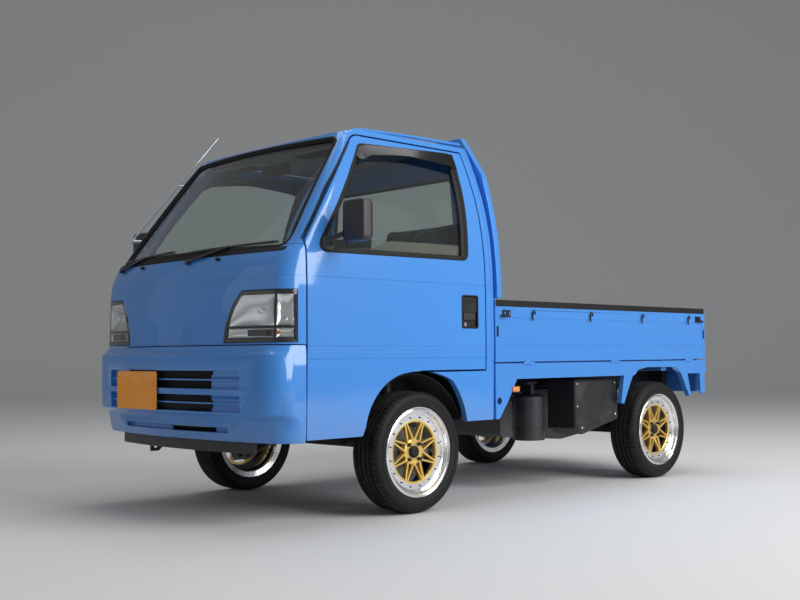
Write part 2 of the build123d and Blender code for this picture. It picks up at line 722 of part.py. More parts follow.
def tail_lamps():
    """Lamp block each side, on the rear panel."""
    lamp = block((LAMP_BAR_X - 16, LAMP_BAR_X), (BODY_HALF - 297, BODY_HALF - 67), (474, 560))
    return both_sides(lamp)


HOOP_FOOT_Z = GATE_TOP + 8


def headboard():
    """Front wall of the load bed, with a post each side that carries the hoop."""
    x = (GATE_FRONT_X - 3 - HEADBOARD_T, GATE_FRONT_X - 3)
    wall = block(x, (47 - BODY_HALF, BODY_HALF - 47), (DECK_TOP, HOOP_FOOT_Z))
    return wall


def hoop():
    """Guard frame behind the cab, following its outline."""
    low = HOOP_FOOT_Z

    def leg_line(inset):
        y = BODY_HALF - inset
        top_y = BODY_HALF - 227 - inset * 0.55
        return outline(
            ThreePointArc((y, low), (y - 22, 1268), (y - 93, 1560)),
            Polyline((y - 93, 1560), (top_y, HOOP_TOP - inset), (-top_y, HOOP_TOP - inset), (93 - y, 1560)),
            ThreePointArc((93 - y, 1560), (22 - y, 1268), (-y, low)),
            Polyline((-y, low), (y, low)),
        )

    ring = leg_line(0) - leg_line(HOOP_W)
    x = GATE_FRONT_X - 3 - HOOP_T
    frame = along_x(ring, x, x + HOOP_T)
    foot = block((x, x + HOOP_T), (BODY_HALF - 137, BODY_HALF - 2), (low, low + 36))
    return frame + both_sides(foot)


# Chassis
def ladder_frame():
    """Two rails that step up behind the cab, with cross tubes, spring hangers and tow eyes."""
    h = RAIL_H
    top = [
        (1498, CAB_RAIL_TOP), (1080, CAB_RAIL_TOP), (980, CAB_RAIL_TOP + 20), (400, CAB_RAIL_TOP + 20),
        (170, BED_RAIL_TOP), (REAR_X + 47.5, BED_RAIL_TOP),
    ]
    face = polygon(top + [(x, z - h) for x, z in reversed(top)])
    rail = across_y(face, RAIL_IN_Y, RAIL_IN_Y + RAIL_W)
    hanger_z = (SPRING_EYE_Z + 21, BED_RAIL_TOP - 8)
    for x in (SPRING_FRONT_X, SPRING_REAR_X):
        rail += block((x - 24, x + 24), (RAIL_IN_Y + RAIL_W, SPRING_Y + 25), hanger_z)
    eye = polygon([(1420, 330), (1420, 290), (1455, 262), (1495, 262), (1495, 330)])
    eye -= Pos(*TOW_EYE) * Circle(TOW_EYE_R)
    middle = RAIL_IN_Y + RAIL_W / 2
    rail += across_y(eye, middle - TOW_EYE_T / 2, middle + TOW_EYE_T / 2)
    tubes = [rod((x, -RAIL_IN_Y, z), (x, RAIL_IN_Y, z), CROSS_TUBE_R) for x, z in CROSS_TUBES]
    return Compound([rail, mirrored(rail), *tubes])


def rear_axle():
    """Beam, leaf springs and brake drums."""
    beam = rod((REAR_AXLE_X, -MOUNT_Y + 40, AXLE_Z), (REAR_AXLE_X, MOUNT_Y - 40, AXLE_Z), 32)
    drum = rod((REAR_AXLE_X, MOUNT_Y - 65, AXLE_Z), (REAR_AXLE_X, MOUNT_Y - SEAT_GAP, AXLE_Z), DRUM_R)
    front, rear, low = SPRING_FRONT_X, SPRING_REAR_X, AXLE_Z + 56
    leaf = outline(
        ThreePointArc((front, SPRING_EYE_Z + 10), (REAR_AXLE_X, low + 22), (rear, SPRING_EYE_Z + 10)),
        Polyline((rear, SPRING_EYE_Z + 10), (rear, SPRING_EYE_Z - 12)),
        ThreePointArc((rear, SPRING_EYE_Z - 12), (REAR_AXLE_X, low), (front, SPRING_EYE_Z - 12)),
        Polyline((front, SPRING_EYE_Z - 12), (front, SPRING_EYE_Z + 10)),
    )
    spring = across_y(leaf, SPRING_Y - 25, SPRING_Y + 25)
    for x in (front, rear):
        spring += rod((x, SPRING_Y - 25, SPRING_EYE_Z), (x, SPRING_Y + 25, SPRING_EYE_Z), 21)
    pad = block((REAR_AXLE_X - 50, REAR_AXLE_X + 50), (SPRING_Y - 25, SPRING_Y + 25), (AXLE_Z + 20, low + 8))
    return beam + both_sides(drum + spring + pad)


def engine_block():
    """Engine and gearbox as one plain block on two mounts under the bed."""
    face = polygon(from_axle([(801, 480), (251, 500), (71, 380), (71, 230), (271, 205), (801, 245)]), 25)
    engine = across_y(face, -210, 210)
    high = BED_RAIL_TOP - 20
    for x in (REAR_AXLE_X + 711, REAR_AXLE_X + 331):
        engine += both_sides(block((x - 30, x + 30), (200, RAIL_IN_Y), (high - RAIL_H + 30, high)))
        engine += both_sides(block((x - 30, x + 30), (170, 215), (430, high)))
    return engine


def exhaust():
    """Silencer hung across the rear from both rails, with its tail pipe."""
    x, z = REAR_AXLE_X - 229, 400
    pot = rod((x, -300, z), (x, 240, z), 78)
    pot += rod((x, -240, z), (x - 200, -240, z - 20), 22)
    hanger = polygon([(185, 445), (235, 440), (RAIL_IN_Y, 516), (RAIL_IN_Y, 545), (275, 545), (185, 470)])
    return pot + both_sides(along_x(hanger, x - 12, x + 12))


def fuel_tank():
    """Tank under the right side of the bed, on two brackets from the rail."""
    front, rear = REAR_AXLE_X + 981, REAR_AXLE_X + 491
    tank = fillet(block((rear, front), (-620, -370), (300, 520)).edges(), 28)
    for x in (rear + 105, front - 105):
        tank += block((x - 20, x + 20), (-410, -RAIL_IN_Y - RAIL_W), (465, 540))
    return tank


def battery_box():
    """Covered tray under the left side of the bed, on two brackets from the rail."""
    face = polygon(from_axle([(716, 555), (331, 555), (331, 340), (651, 272), (716, 305)]), 10)
    box = across_y(face, 465, BODY_HALF - 57)
    for x in (REAR_AXLE_X + 651, REAR_AXLE_X + 371):
        box += block((x - 15, x + 15), (RAIL_IN_Y + RAIL_W, 480), (518, 545))
    return box


def air_cleaner():
    """Canister ahead of the battery box, on a bracket from the rail."""
    x = REAR_AXLE_X + 881
    can = rod((x, 470, 250), (x, 470, 474), 82)
    can += block((x - 40, x + 40), (RAIL_IN_Y + RAIL_W, 500), (535, 550))
    can += block((x - 12, x + 12), (440, 500), (470, 540))
    return can


def front_suspension():
    """Cross member, lower arms, struts, kingpin yokes and the steering rack."""
    x = FRONT_AXLE_X
    low, high = AXLE_Z - 95, AXLE_Z + 75
    rail_bottom = CAB_RAIL_TOP + 20 - RAIL_H
    side = block((x - 40, x + 40), (RAIL_IN_Y - 10, RAIL_IN_Y + RAIL_W), (270, rail_bottom))
    side += across_x_arm(x, low)
    side += rod((x, KINGPIN_Y, low), (x, KINGPIN_Y, low + 20), 18)
    side += rod((x, STRUT_Y, high - 30), (x, STRUT_Y, PLATFORM_Z - FLOOR_T), STRUT_R)
    side += block((x - 18, x + 18), (STRUT_Y, KINGPIN_Y), (high, high + 20))
    side += rod((x, KINGPIN_Y, high), (x, KINGPIN_Y, high + 20), 18)
    member = block((x - 40, x + 40), (-RAIL_IN_Y - 10, RAIL_IN_Y + 10), (270, 320))
    rack = rod((x + 100, -RAIL_IN_Y, 300), (x + 100, RAIL_IN_Y, 300), 18)
    rack += block((x + 30, x + 110), (-60, 60), (285, 315))
    return member + both_sides(side) + rack


def across_x_arm(x, low):
    """Lower arm from the cross member out to the kingpin."""
    face = polygon([
        (RAIL_IN_Y, 272), (RAIL_IN_Y, 310), (RAIL_IN_Y + RAIL_W, 310), (KINGPIN_Y - 26, low + 20),
        (KINGPIN_Y, low + 20), (KINGPIN_Y, low),
    ])
    return along_x(face, x - 18, x + 18)


def knuckle():
    """Left steering knuckle: kingpin post, hub and brake disc with its caliper."""
    x, z = FRONT_AXLE_X, AXLE_Z
    post = rod((x, KINGPIN_Y, z - 75 + SEAT_GAP), (x, KINGPIN_Y, z + 75 - SEAT_GAP), 18)
    hub = rod((x, KINGPIN_Y, z), (x, MOUNT_Y - SEAT_GAP, z), 50)
    disc = rod((x, MOUNT_Y - 26, z), (x, MOUNT_Y - 15, z), 112)
    caliper = block((x - 130, x - 70), (MOUNT_Y - 35, MOUNT_Y - 7), (z - 30, z + 50))
    return post + hub + disc + caliper


# Wheels, drawn about their own axis with the street side at +Z, then turned to the truck's side
def local_rim():
    """Stepped barrel, lip and a centre of thin arms in V pairs round the hub pad."""
    low, high = TYRE_MID_Y - RIM_W / 2, TYRE_MID_Y + RIM_W / 2
    face = polygon([
        (RIM_R, low), (RIM_R, low + 8), (RIM_SEAT_R, low + 12), (RIM_SEAT_R, low + 34),
        (BARREL_R + 6, low + 44), (BARREL_R + 6, high - 48), (RIM_SEAT_R, high - 34), (RIM_SEAT_R, high - 12), (RIM_R, high - 8),
        (RIM_R, high), (RIM_SEAT_R + 8, high), (RIM_SEAT_R - 6, high - 14), (MESH_R, high - 20),
        (MESH_R - 14, high - 22), (MESH_R - 14, high - 40), (BARREL_R, high - 50), (BARREL_R, low + 40),
        (RIM_SEAT_R - 6, low + 30), (RIM_SEAT_R - 6, low + 6),
    ])
    rim = revolve(Plane.XZ * face, Axis.Z)
    rim += Pos(0, 0, (MOUNT_Y + high - 18) / 2) * Cylinder(HUB_R, high - 18 - MOUNT_Y)
    start, end = HUB_R - 8, MESH_R - 8
    for n in range(ARM_PAIRS):
        angle = 360 / ARM_PAIRS * n
        for lean in (-ARM_LEAN, ARM_LEAN):
            x0, y0 = start * cos(radians(angle)), start * sin(radians(angle))
            x1, y1 = end * cos(radians(angle + lean)), end * sin(radians(angle + lean))
            way = Vector(x1 - x0, y1 - y0, 0)
            arm = Box(way.length, 10, 15)
            place = Plane(origin=((x0 + x1) / 2, (y0 + y1) / 2, high - 30), x_dir=way, z_dir=(0, 0, 1))
            rim += place * arm
    return rim


def local_tyre():
    """Low tyre with rounded shoulders, seated on the rim."""
    half, bead = TYRE_W / 2, RIM_W / 2
    inner = RIM_SEAT_R + SEAT_GAP
    side = [
        (inner, bead - 12.6), (RIM_R + 0.4, bead - 8.6), (RIM_R + 4, bead + 2), (225, half), (244, half - 1),
        (TYRE_R - 6, half - 14), (TYRE_R, half - 26),
    ]
    face = polygon(
        [(r, TYRE_MID_Y + w) for r, w in side] + [(r, TYRE_MID_Y - w) for r, w in reversed(side)]
    )
    return revolve(Plane.XZ * face, Axis.Z)


def on_axle(local, x, side):
    """A wheel part turned so that its street side faces out, on its axle."""
    return Pos(x, 0, AXLE_Z) * Rot(-90 * side, 0, 0) * local


# The truck, piece by piece
nose, back, roof, side = cab_shell_pieces()
save("nose_panel", nose_panel(nose))
save("cab_back_wall", back)
save("cab_roof", roof)
save("headlamps", headlamps())
save("front_bumper", bumper())
save("bumper_skirt", bumper_skirt())
save("number_plate", number_plate())
save("windscreen", windscreen())
save("wipers", wipers())
save("aerial", aerial())
save("rear_window", rear_window())
save("cab_floor", cab_floor())
save("dashboard", dashboard())
save("steering_column", steering_column())
save("steering_wheel", steering_wheel())
save("seats", seats())
save("load_deck", load_deck())
save("tail_gate", tail_gate())
save("rear_panel", rear_panel())
save("tail_lamps", tail_lamps())
save("headboard", headboard())
save("hoop", hoop())
save("ladder_frame", ladder_frame())
save("rear_axle", rear_axle())
save("engine_block", engine_block())
save("exhaust", exhaust())
save("fuel_tank", fuel_tank())
save("battery_box", battery_box())
save("air_cleaner", air_cleaner())
save("front_suspension", front_suspension())

PAIRS = {
    "cab_side": side, "door": door_shell(), "door_glass": door_glass(), "door_fittings": door_fittings(),
    "side_sill": side_sill(), "side_gate": side_gate(), "knuckle": knuckle(),
}
for name, solid in PAIRS.items():
    save(name + "_left", solid)
    save(name + "_right", mirrored(solid))

RIM, TYRE = local_rim(), local_tyre()
for name, x, way in (
    ("front_left", FRONT_AXLE_X, 1), ("front_right", FRONT_AXLE_X, -1),
    ("rear_left", REAR_AXLE_X, 1), ("rear_right", REAR_AXLE_X, -1),
):
    save("rim_" + name, on_axle(RIM, x, way))
    save("tyre_" + name, on_axle(TYRE, x, way))
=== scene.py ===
# %% [markdown]
# # A small forward-control pickup, dressed over its solids
# The solids come from a CAD program and say where everything is, in metres, with X forward, Y to the
# truck's left and Z up. Here they get paint, glass, rubber and cloth, and the parts whose shape is made
# of fine curves, such as tyres, wheels, lamps and cushions, get surfaces of their own.

# %% Load the frame
import json
import math

import bpy
import numpy as np
from mathutils import Matrix, Vector

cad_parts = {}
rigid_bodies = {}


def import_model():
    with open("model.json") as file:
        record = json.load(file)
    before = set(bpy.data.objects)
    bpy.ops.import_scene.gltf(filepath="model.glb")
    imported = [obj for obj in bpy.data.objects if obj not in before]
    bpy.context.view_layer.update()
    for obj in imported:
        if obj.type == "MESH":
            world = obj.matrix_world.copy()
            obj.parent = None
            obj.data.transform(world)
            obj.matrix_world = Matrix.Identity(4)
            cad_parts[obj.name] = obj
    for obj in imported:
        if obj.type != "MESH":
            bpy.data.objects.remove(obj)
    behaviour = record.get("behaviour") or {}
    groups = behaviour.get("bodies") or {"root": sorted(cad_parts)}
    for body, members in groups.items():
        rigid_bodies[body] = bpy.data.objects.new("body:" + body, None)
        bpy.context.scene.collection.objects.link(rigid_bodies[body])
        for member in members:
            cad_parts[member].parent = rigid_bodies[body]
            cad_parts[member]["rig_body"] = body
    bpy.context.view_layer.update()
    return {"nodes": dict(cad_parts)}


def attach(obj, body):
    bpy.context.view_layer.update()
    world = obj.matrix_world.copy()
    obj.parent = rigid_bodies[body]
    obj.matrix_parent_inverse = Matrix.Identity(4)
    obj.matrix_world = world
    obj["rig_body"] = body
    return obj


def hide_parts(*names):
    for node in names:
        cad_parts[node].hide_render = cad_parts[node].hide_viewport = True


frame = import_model()
nodes = frame["nodes"]
scene = bpy.context.scene

# %% [markdown]
# ## The camera
# The photograph was taken from a little below headlamp height, ahead of the truck's left front corner.
# The place, heading and lens were fitted to known points of the truck, so they are written as numbers.
# A camera looks along its own -Z, so its axes are the columns of a rotation matrix.

# %% Camera at the photograph's angle
CAMERA_PLACE = np.array([4.1752, 4.0832, 0.6921])
HEADING, PITCH, ROLL = map(math.radians, (-134.139, 2.878, -0.454))
SENSOR_WIDTH, LENS = 36.0, 49.19


def camera_axes(heading, pitch, roll):
    """Unit vectors right, up and ahead: ahead turns by heading about Z and rises by pitch, and roll
    turns the other two about it."""
    level = math.cos(pitch)
    ahead = np.array([math.cos(heading) * level, math.sin(heading) * level, math.sin(pitch)])
    right = np.cross(ahead, [0, 0, 1])
    right /= np.linalg.norm(right)
    up = np.cross(right, ahead)
    return (math.cos(roll) * right + math.sin(roll) * up, math.cos(roll) * up - math.sin(roll) * right, ahead)


right, up, ahead = camera_axes(HEADING, PITCH, ROLL)
camera = bpy.data.objects.new("camera", bpy.data.cameras.new("camera"))
scene.collection.objects.link(camera)
camera.data.sensor_width, camera.data.lens = SENSOR_WIDTH, LENS
camera.data.clip_end = 200.0
turn = Matrix([[*row] for row in np.stack([right, up, -ahead], axis=1)])
camera.matrix_world = Matrix.Translation(Vector(CAMERA_PLACE)) @ turn.to_4x4()
scene.camera = camera
scene.view_settings.view_transform = "Standard"
print("camera", camera.location, "lens", camera.data.lens)

# %% [markdown]
# ## Writing materials as sums
# A material is a tree of nodes. Wiring each Math node by hand hides what is worked out, so `Term` wraps
# a socket and lets Python's own + - * / build the nodes. `Paintbox` holds one material's tree.

# %% Shader arithmetic


class Term:
    """A number, colour or vector on its way through a material."""

    def __init__(self, box, socket):
        self.box, self.socket = box, socket

    def math(self, how, *values, clamp=False):
        settings = {"operation": how, "use_clamp": clamp}
        return self.box.node("ShaderNodeMath", settings, dict(enumerate(values)))

    def sine(self):
        return self.math("SINE", self)

    def __abs__(self):
        return self.math("ABSOLUTE", self)


# Python's name for each operator, and the Math node's. The form with an r has the Term on the right
OPERATORS = {"add": "ADD", "sub": "SUBTRACT", "mul": "MULTIPLY", "truediv": "DIVIDE", "pow": "POWER"}
for sign, how in OPERATORS.items():
    setattr(Term, f"__{sign}__", lambda self, other, how=how: self.math(how, self, other))
    setattr(Term, f"__r{sign}__", lambda self, other, how=how: self.math(how, other, self))


class Paintbox:
    """One material's tree of nodes."""

    def __init__(self, name):
        self.material = bpy.data.materials.new(name)
        self.material.use_nodes = True
        self.tree = self.material.node_tree
        self.tree.nodes.clear()

    def node(self, kind, settings=None, sockets=None, out=0):
        """Adds a node, sets its settings, then its sockets from values or Terms, and gives one output."""
        made = self.tree.nodes.new(kind)
        for key, value in (settings or {}).items():
            if key == "stops":
                ramp = made.color_ramp
                while len(ramp.elements) < len(value):
                    ramp.elements.new(0.5)
                for stop, (place, colour) in zip(ramp.elements, value):
                    stop.position = place
                    stop.color = (*colour, 1)
            else:
                setattr(made, key, value)
        for key, value in (sockets or {}).items():
            if isinstance(value, Term):
                self.tree.links.new(value.socket, made.inputs[key])
            elif value is not None:
                made.inputs[key].default_value = value
        return Term(self, made.outputs[out]) if len(made.outputs) else None

    def place(self):
        """The point on the piece, in metres from the truck's origin."""
        return self.node("ShaderNodeTexCoord", out="Object")

    def xyz(self):
        """The three coordinates of that point, as numbers."""
        split = self.node("ShaderNodeSeparateXYZ", None, {0: self.place()})
        return tuple(Term(self, split.socket.node.outputs[n]) for n in range(3))

    def noise(self, scale, detail=3.0, rough=0.5, stretch=None):
        """Cloudy noise from 0 to 1, `scale` lumps a metre."""
        where = self.place()
        if stretch:
            where = self.node("ShaderNodeMapping", None, {"Vector": where, "Scale": stretch})
        values = {"Vector": where, "Scale": scale, "Detail": detail, "Roughness": rough}
        return self.node("ShaderNodeTexNoise", None, values)

    def ramp(self, value, low, high, smooth=True):
        """0 below low, 1 above high, and an even or smooth rise between."""
        kind = {"interpolation_type": "SMOOTHSTEP" if smooth else "LINEAR"}
        return self.node("ShaderNodeMapRange", kind, {0: value, 1: low, 2: high, 3: 0.0, 4: 1.0})

    def blend(self, share, first, second):
        """The first colour where share is 0 and the second where it is 1."""
        values = {0: share}
        for key, colour in ((6, first), (7, second)):
            values[key] = colour if isinstance(colour, Term) else (*colour, 1)
        return self.node("ShaderNodeMix", {"data_type": "RGBA"}, values, out=2)

    def bump(self, height, depth, strength=1.0):
        """A normal that leans as a surface raised by height times depth metres would."""
        return self.node("ShaderNodeBump", None, {"Height": height, "Distance": depth, "Strength": strength})

    def surface(self, **sockets):
        """The Principled shader and the output. A name's underscores stand for spaces."""
        values = {key.replace("_", " "): value for key, value in sockets.items()}
        for key in ("Base Color", "Coat Tint", "Emission Color"):
            if key in values and not isinstance(values[key], Term):
                values[key] = (*values[key], 1)
        shader = self.node("ShaderNodeBsdfPrincipled", None, values)
        self.node("ShaderNodeOutputMaterial", None, {0: shader})
        return self.material


# %% [markdown]
# ## Finishes
# Paint on a working truck is smooth and wet-looking under its lacquer, with a faint orange-peel ripple,
# and dust gathers low down. The dust is a mask that rises towards the road, broken up by noise, and it
# both pales the colour and takes the gloss off.

# %% Body paint


def dust(box, top, bottom, most):
    """Share of road dust: none above `top` metres, `most` below `bottom`, in patches."""
    height = box.xyz()[2]
    patches = box.noise(7.0, 5.0, 0.6)
    return box.ramp(height, top, bottom) * box.ramp(patches, 0.25, 0.75) * most


def shades(colour, dark, pale):
    """A darker and a paler shade of a colour: each part times a share, and none over 1."""
    return [tuple(min(1.0, share * part) for part in colour) for share in (dark, pale)]


def body_paint(name, colour, low=0.42, creases=()):
    """Solid paint under lacquer. Each crease is a level: height, half width, depth in metres."""
    box = Paintbox(name)
    tone = box.blend(box.noise(0.9, 2.0), *shades(colour, 0.93, 1.06))
    dirt = dust(box, 0.62, 0.24, low)
    ripple = box.noise(260.0, 1.0) * 0.00006
    height = box.xyz()[2]
    for level, half, depth in creases:
        ripple = ripple + box.ramp(abs(height - level), half, 0.0) * depth
    return box.surface(
        Base_Color=box.blend(dirt, tone, (0.20, 0.18, 0.15)),
        Roughness=0.34 + dirt * 0.4 + box.noise(30.0) * 0.05,
        Specular_IOR_Level=0.2,
        Coat_Weight=1.0 - dirt * 0.8,
        Coat_Roughness=0.045,
        Normal=box.bump(ripple, 1.0),
    )


BLUE = (0.048, 0.235, 0.650)
# Pressed lines round the cab: height, half width, depth
CREASES = ((1.010, 0.006, -0.0022), (0.728, 0.005, -0.0020), (0.675, 0.005, -0.0020))
paint = body_paint("blue_paint", BLUE)
cab_paint = body_paint("blue_cab_paint", BLUE, creases=CREASES)
# The deck's paint is the body's blue made a tenth darker: a painted shade for the deck down inside the bed.
shaded_bed_paint = body_paint("blue_bed_paint", tuple(0.9 * c for c in BLUE), 0.2)

# %% [markdown]
# ## Plastic, rubber and the metals underneath
# Moulded plastic has a fine leathery grain, so its bump is a small Voronoi pattern. Chassis steel is
# sprayed black and collects more dust than the body does.

# %% Plastics, rubbers and chassis metals


def moulded(name, colour, rough=0.55, grain=0.00012, scale=900.0):
    """Grained plastic."""
    box = Paintbox(name)
    cells = box.node("ShaderNodeTexVoronoi", None, {"Vector": box.place(), "Scale": scale})
    fade = box.noise(6.0, 4.0)
    return box.surface(
        Base_Color=box.blend(fade, *shades(colour, 0.8, 1.25)),
        Roughness=rough + fade * 0.15,
        Specular_IOR_Level=0.3,
        Normal=box.bump(cells, grain),
    )


def chassis_metal(name, colour, metal=0.0, rough=0.5, most=0.7):
    """Sprayed or bare metal under the body, dusty, with a rough cast skin."""
    box = Paintbox(name)
    dirt = box.ramp(box.noise(9.0, 6.0, 0.65), 0.45, 0.75) * most
    return box.surface(
        Base_Color=box.blend(dirt, colour, (0.13, 0.115, 0.095)),
        Roughness=rough + dirt * 0.35,
        Metallic=metal * (1.0 - dirt),
        Normal=box.bump(box.noise(420.0, 3.0), 0.0003),
    )


black_plastic = moulded("black_plastic", (0.008, 0.008, 0.009), 0.5)
grey_plastic = moulded("grey_plastic", (0.065, 0.065, 0.070), 0.6)
pale_trim = moulded("pale_trim", (0.42, 0.41, 0.39), 0.7, 0.0002, 500.0)
seal_rubber = moulded("seal_rubber", (0.006, 0.006, 0.0065), 0.6, 0.00004, 300.0)
mat_rubber = moulded("mat_rubber", (0.035, 0.034, 0.033), 0.75, 0.0004, 240.0)
chassis_black = chassis_metal("chassis_black", (0.008, 0.008, 0.009), 0.0, 0.42, 0.25)
cast_metal = chassis_metal("cast_metal", (0.22, 0.21, 0.20), 0.85, 0.5, 0.8)
exhaust_steel = chassis_metal("exhaust_steel", (0.36, 0.32, 0.28), 0.9, 0.42, 0.6)
disc_steel = chassis_metal("disc_steel", (0.5, 0.48, 0.46), 1.0, 0.3, 0.3)
bolt_steel = chassis_metal("bolt_steel", (0.05, 0.05, 0.055), 0.8, 0.35, 0.2)
bright_steel = chassis_metal("bright_steel", (0.72, 0.72, 0.74), 1.0, 0.16, 0.1)

# %% [markdown]
# ## Glass and lenses
# Window glass is a thin pane. The Principled shader's transmission makes it, and a faint green tint
# stands for the iron in it. Lamp lenses are clearer.

# %% Glass


def glass(name, tint, rough=0.0):
    """Clear or tinted glass."""
    box = Paintbox(name)
    smear = box.ramp(box.noise(3.0, 6.0, 0.7), 0.5, 0.9) * 0.03
    return box.surface(
        Base_Color=tint, Roughness=smear + rough, Transmission_Weight=1.0, IOR=1.45, Specular_IOR_Level=0.5
    )


window_glass = glass("window_glass", (0.80, 0.88, 0.86))
lamp_glass = glass("lamp_glass", (0.96, 0.97, 0.97))


def lens_plastic(name, colour):
    """Coloured lamp plastic: part of the light goes through, and ribs moulded inside scatter it."""
    box = Paintbox(name)
    _, y, z = box.xyz()
    ribs = (y * 900.0).sine() * (z * 900.0).sine()
    return box.surface(
        Base_Color=colour, Transmission_Weight=0.35, Roughness=0.12 + box.noise(20.0) * 0.05, IOR=1.49,
        Coat_Weight=0.6, Normal=box.bump(ribs, 0.0003),
    )


red_lens = lens_plastic("red_lens", (0.55, 0.008, 0.010))
amber_lens = lens_plastic("amber_lens", (0.90, 0.27, 0.015))
clear_lens = lens_plastic("clear_lens", (0.85, 0.86, 0.86))

# %% [markdown]
# ## Wheel metals and tyre rubber
# The lip is turned and polished, which leaves rings about the axle too fine to see one by one. Their
# radius is worked out from the point itself: the square root of x squared plus z squared, measured from
# the axle. The tyre's dust sits on its tread and in a band by the rim.

# %% Wheel and tyre finishes
FRONT_AXLE_X, REAR_AXLE_X, AXLE_Z = 0.769, -1.131, 0.2665


def radius_from_axle(box):
    """Distance from the nearer axle, which is the one on the point's own side of X = -0.18."""
    x, _, z = box.xyz()
    middle = (FRONT_AXLE_X + REAR_AXLE_X) / 2
    along = abs(x - middle) - (FRONT_AXLE_X - middle)
    up_down = z - AXLE_Z
    return (along * along + up_down * up_down) ** 0.5


def polished_lip(name):
    box = Paintbox(name)
    ring = radius_from_axle(box)
    lines = box.noise(1.0, 2.0) * 0.3 + ring
    rings = (lines * 5200.0).sine()
    film = box.ramp(box.noise(24.0, 5.0), 0.4, 0.8)
    return box.surface(
        Base_Color=box.blend(film, (0.86, 0.86, 0.87), (0.74, 0.73, 0.72)),
        Metallic=1.0,
        Roughness=0.13 + film * 0.12,
        Normal=box.bump(rings, 0.00002),
    )


def gold_metal(name):
    box = Paintbox(name)
    worn = box.ramp(box.noise(40.0, 5.0), 0.45, 0.8)
    return box.surface(
        Base_Color=box.blend(worn, (0.86, 0.62, 0.20), (0.70, 0.48, 0.15)),
        Metallic=0.9,
        Roughness=0.3 + worn * 0.2,
        Normal=box.bump(box.noise(600.0, 2.0), 0.0001),
    )


def tyre_rubber(name):
    box = Paintbox(name)
    ring = radius_from_axle(box)
    band = box.ramp(ring, 0.252, 0.266) * 0.5 + box.ramp(abs(ring - 0.206), 0.012, 0.0) * 0.25
    dirt = band * box.ramp(box.noise(14.0, 5.0, 0.6), 0.3, 0.7)
    return box.surface(
        Base_Color=box.blend(dirt, (0.007, 0.007, 0.0075), (0.050, 0.046, 0.040)),
        Roughness=0.58 + dirt * 0.25 + box.noise(60.0) * 0.06,
        Specular_IOR_Level=0.25,
        Normal=box.bump(box.noise(500.0, 3.0), 0.00015),
    )


lip_metal = polished_lip("polished_lip")
gold = gold_metal("gold_centre")
rubber = tyre_rubber("tyre_rubber")

# %% Cloth, plate and mirror


def woven(name, colour, scale=420.0):
    """Plain woven cloth: two crossed waves lift and lower the threads."""
    box = Paintbox(name)
    x, y, z = box.xyz()
    warp = (y * scale * 6.283).sine()
    weft = ((x + z) * scale * 6.283).sine()
    weave = warp * weft
    fade = box.noise(5.0, 4.0)
    return box.surface(
        Base_Color=box.blend(fade, *shades(colour, 0.75, 1.3)),
        Roughness=0.88,
        Sheen_Weight=0.35,
        Normal=box.bump(weave, 0.0002, 0.6),
    )


def plate_paint(name):
    """Enamelled blank plate."""
    box = Paintbox(name)
    film = box.ramp(box.noise(16.0, 5.0), 0.4, 0.8)
    return box.surface(
        Base_Color=box.blend(film, (0.93, 0.33, 0.015), (0.84, 0.29, 0.018)),
        Roughness=0.42 + film * 0.2,
        Coat_Weight=0.3,
    )


seat_cloth = woven("seat_cloth", (0.075, 0.078, 0.085))
orange_plate = plate_paint("orange_plate")
mirror_silver = chassis_metal("mirror_face", (0.85, 0.86, 0.87), 1.0, 0.03, 0.0)

lamp_chrome = chassis_metal("lamp_chrome", (0.78, 0.79, 0.80), 1.0, 0.12, 0.0)
smoked = moulded("smoked_visor", (0.006, 0.006, 0.007), 0.10, 0.0)
brown_trim = moulded("brown_trim", (0.20, 0.175, 0.15), 0.65)
lining = moulded("roof_lining", (0.36, 0.35, 0.33), 0.85, 0.0003, 300.0)

# %% [markdown]
# ## Surfaces from grids
# Most new pieces are one surface: a table of points with two directions. Rows and columns become the
# mesh's faces. A direction may wrap round on itself, as on a tyre, and the ends may be closed.

# %% Grid surfaces


def grid_mesh(name, points, material, wrap_u=False, wrap_v=False, ends=False, smooth=True, sharp=None):
    """A surface through points[i, j]: each face joins four neighbours. Wrapped directions close on
    themselves, and ends closes the first and last rows with one face each. A closed surface faces out:
    it is turned over where its volume, the sum over faces of p . (q x r) / 6, is negative."""
    points = np.asarray(points, float)
    count_u, count_v = points.shape[:2]
    i = np.arange(count_u if wrap_u else count_u - 1)[:, None]
    j = np.arange(count_v if wrap_v else count_v - 1)[None, :]
    i_next, j_next = (i + 1) % count_u * count_v, (j + 1) % count_v
    around = [i * count_v + j, i_next + j, i_next + j_next, i * count_v + j_next]
    faces = np.stack(around, axis=-1).reshape(-1, 4)
    flip = False
    if wrap_v and (wrap_u or ends):
        p, q, r, t = ((points.reshape(-1, 3) - points.mean(axis=(0, 1)))[faces[:, n]] for n in range(4))
        flip = np.sum(np.cross(p, q) * r + np.cross(p, r) * t) < 0
    faces = (faces[:, ::-1] if flip else faces).tolist()
    if ends:
        first, last = list(range(count_v)), list(range((count_u - 1) * count_v, count_u * count_v))
        faces += [first if flip else first[::-1], last[::-1] if flip else last]
    mesh = bpy.data.meshes.new(name)
    mesh.from_pydata(points.reshape(-1, 3).tolist(), [], faces)
    mesh.update()
    mesh.polygons.foreach_set("use_smooth", np.full(len(mesh.polygons), smooth))
    mesh.materials.append(material)
    if sharp:
        mesh.set_sharp_from_angle(angle=math.radians(sharp))
    piece = bpy.data.objects.new(name, mesh)
    scene.collection.objects.link(piece)
    return piece


def keep(piece, body="chassis", instead_of=()):
    """Says which body a piece moves with and the solids it stands for."""
    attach(piece, body)
    if instead_of:
        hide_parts(*instead_of)
    return piece


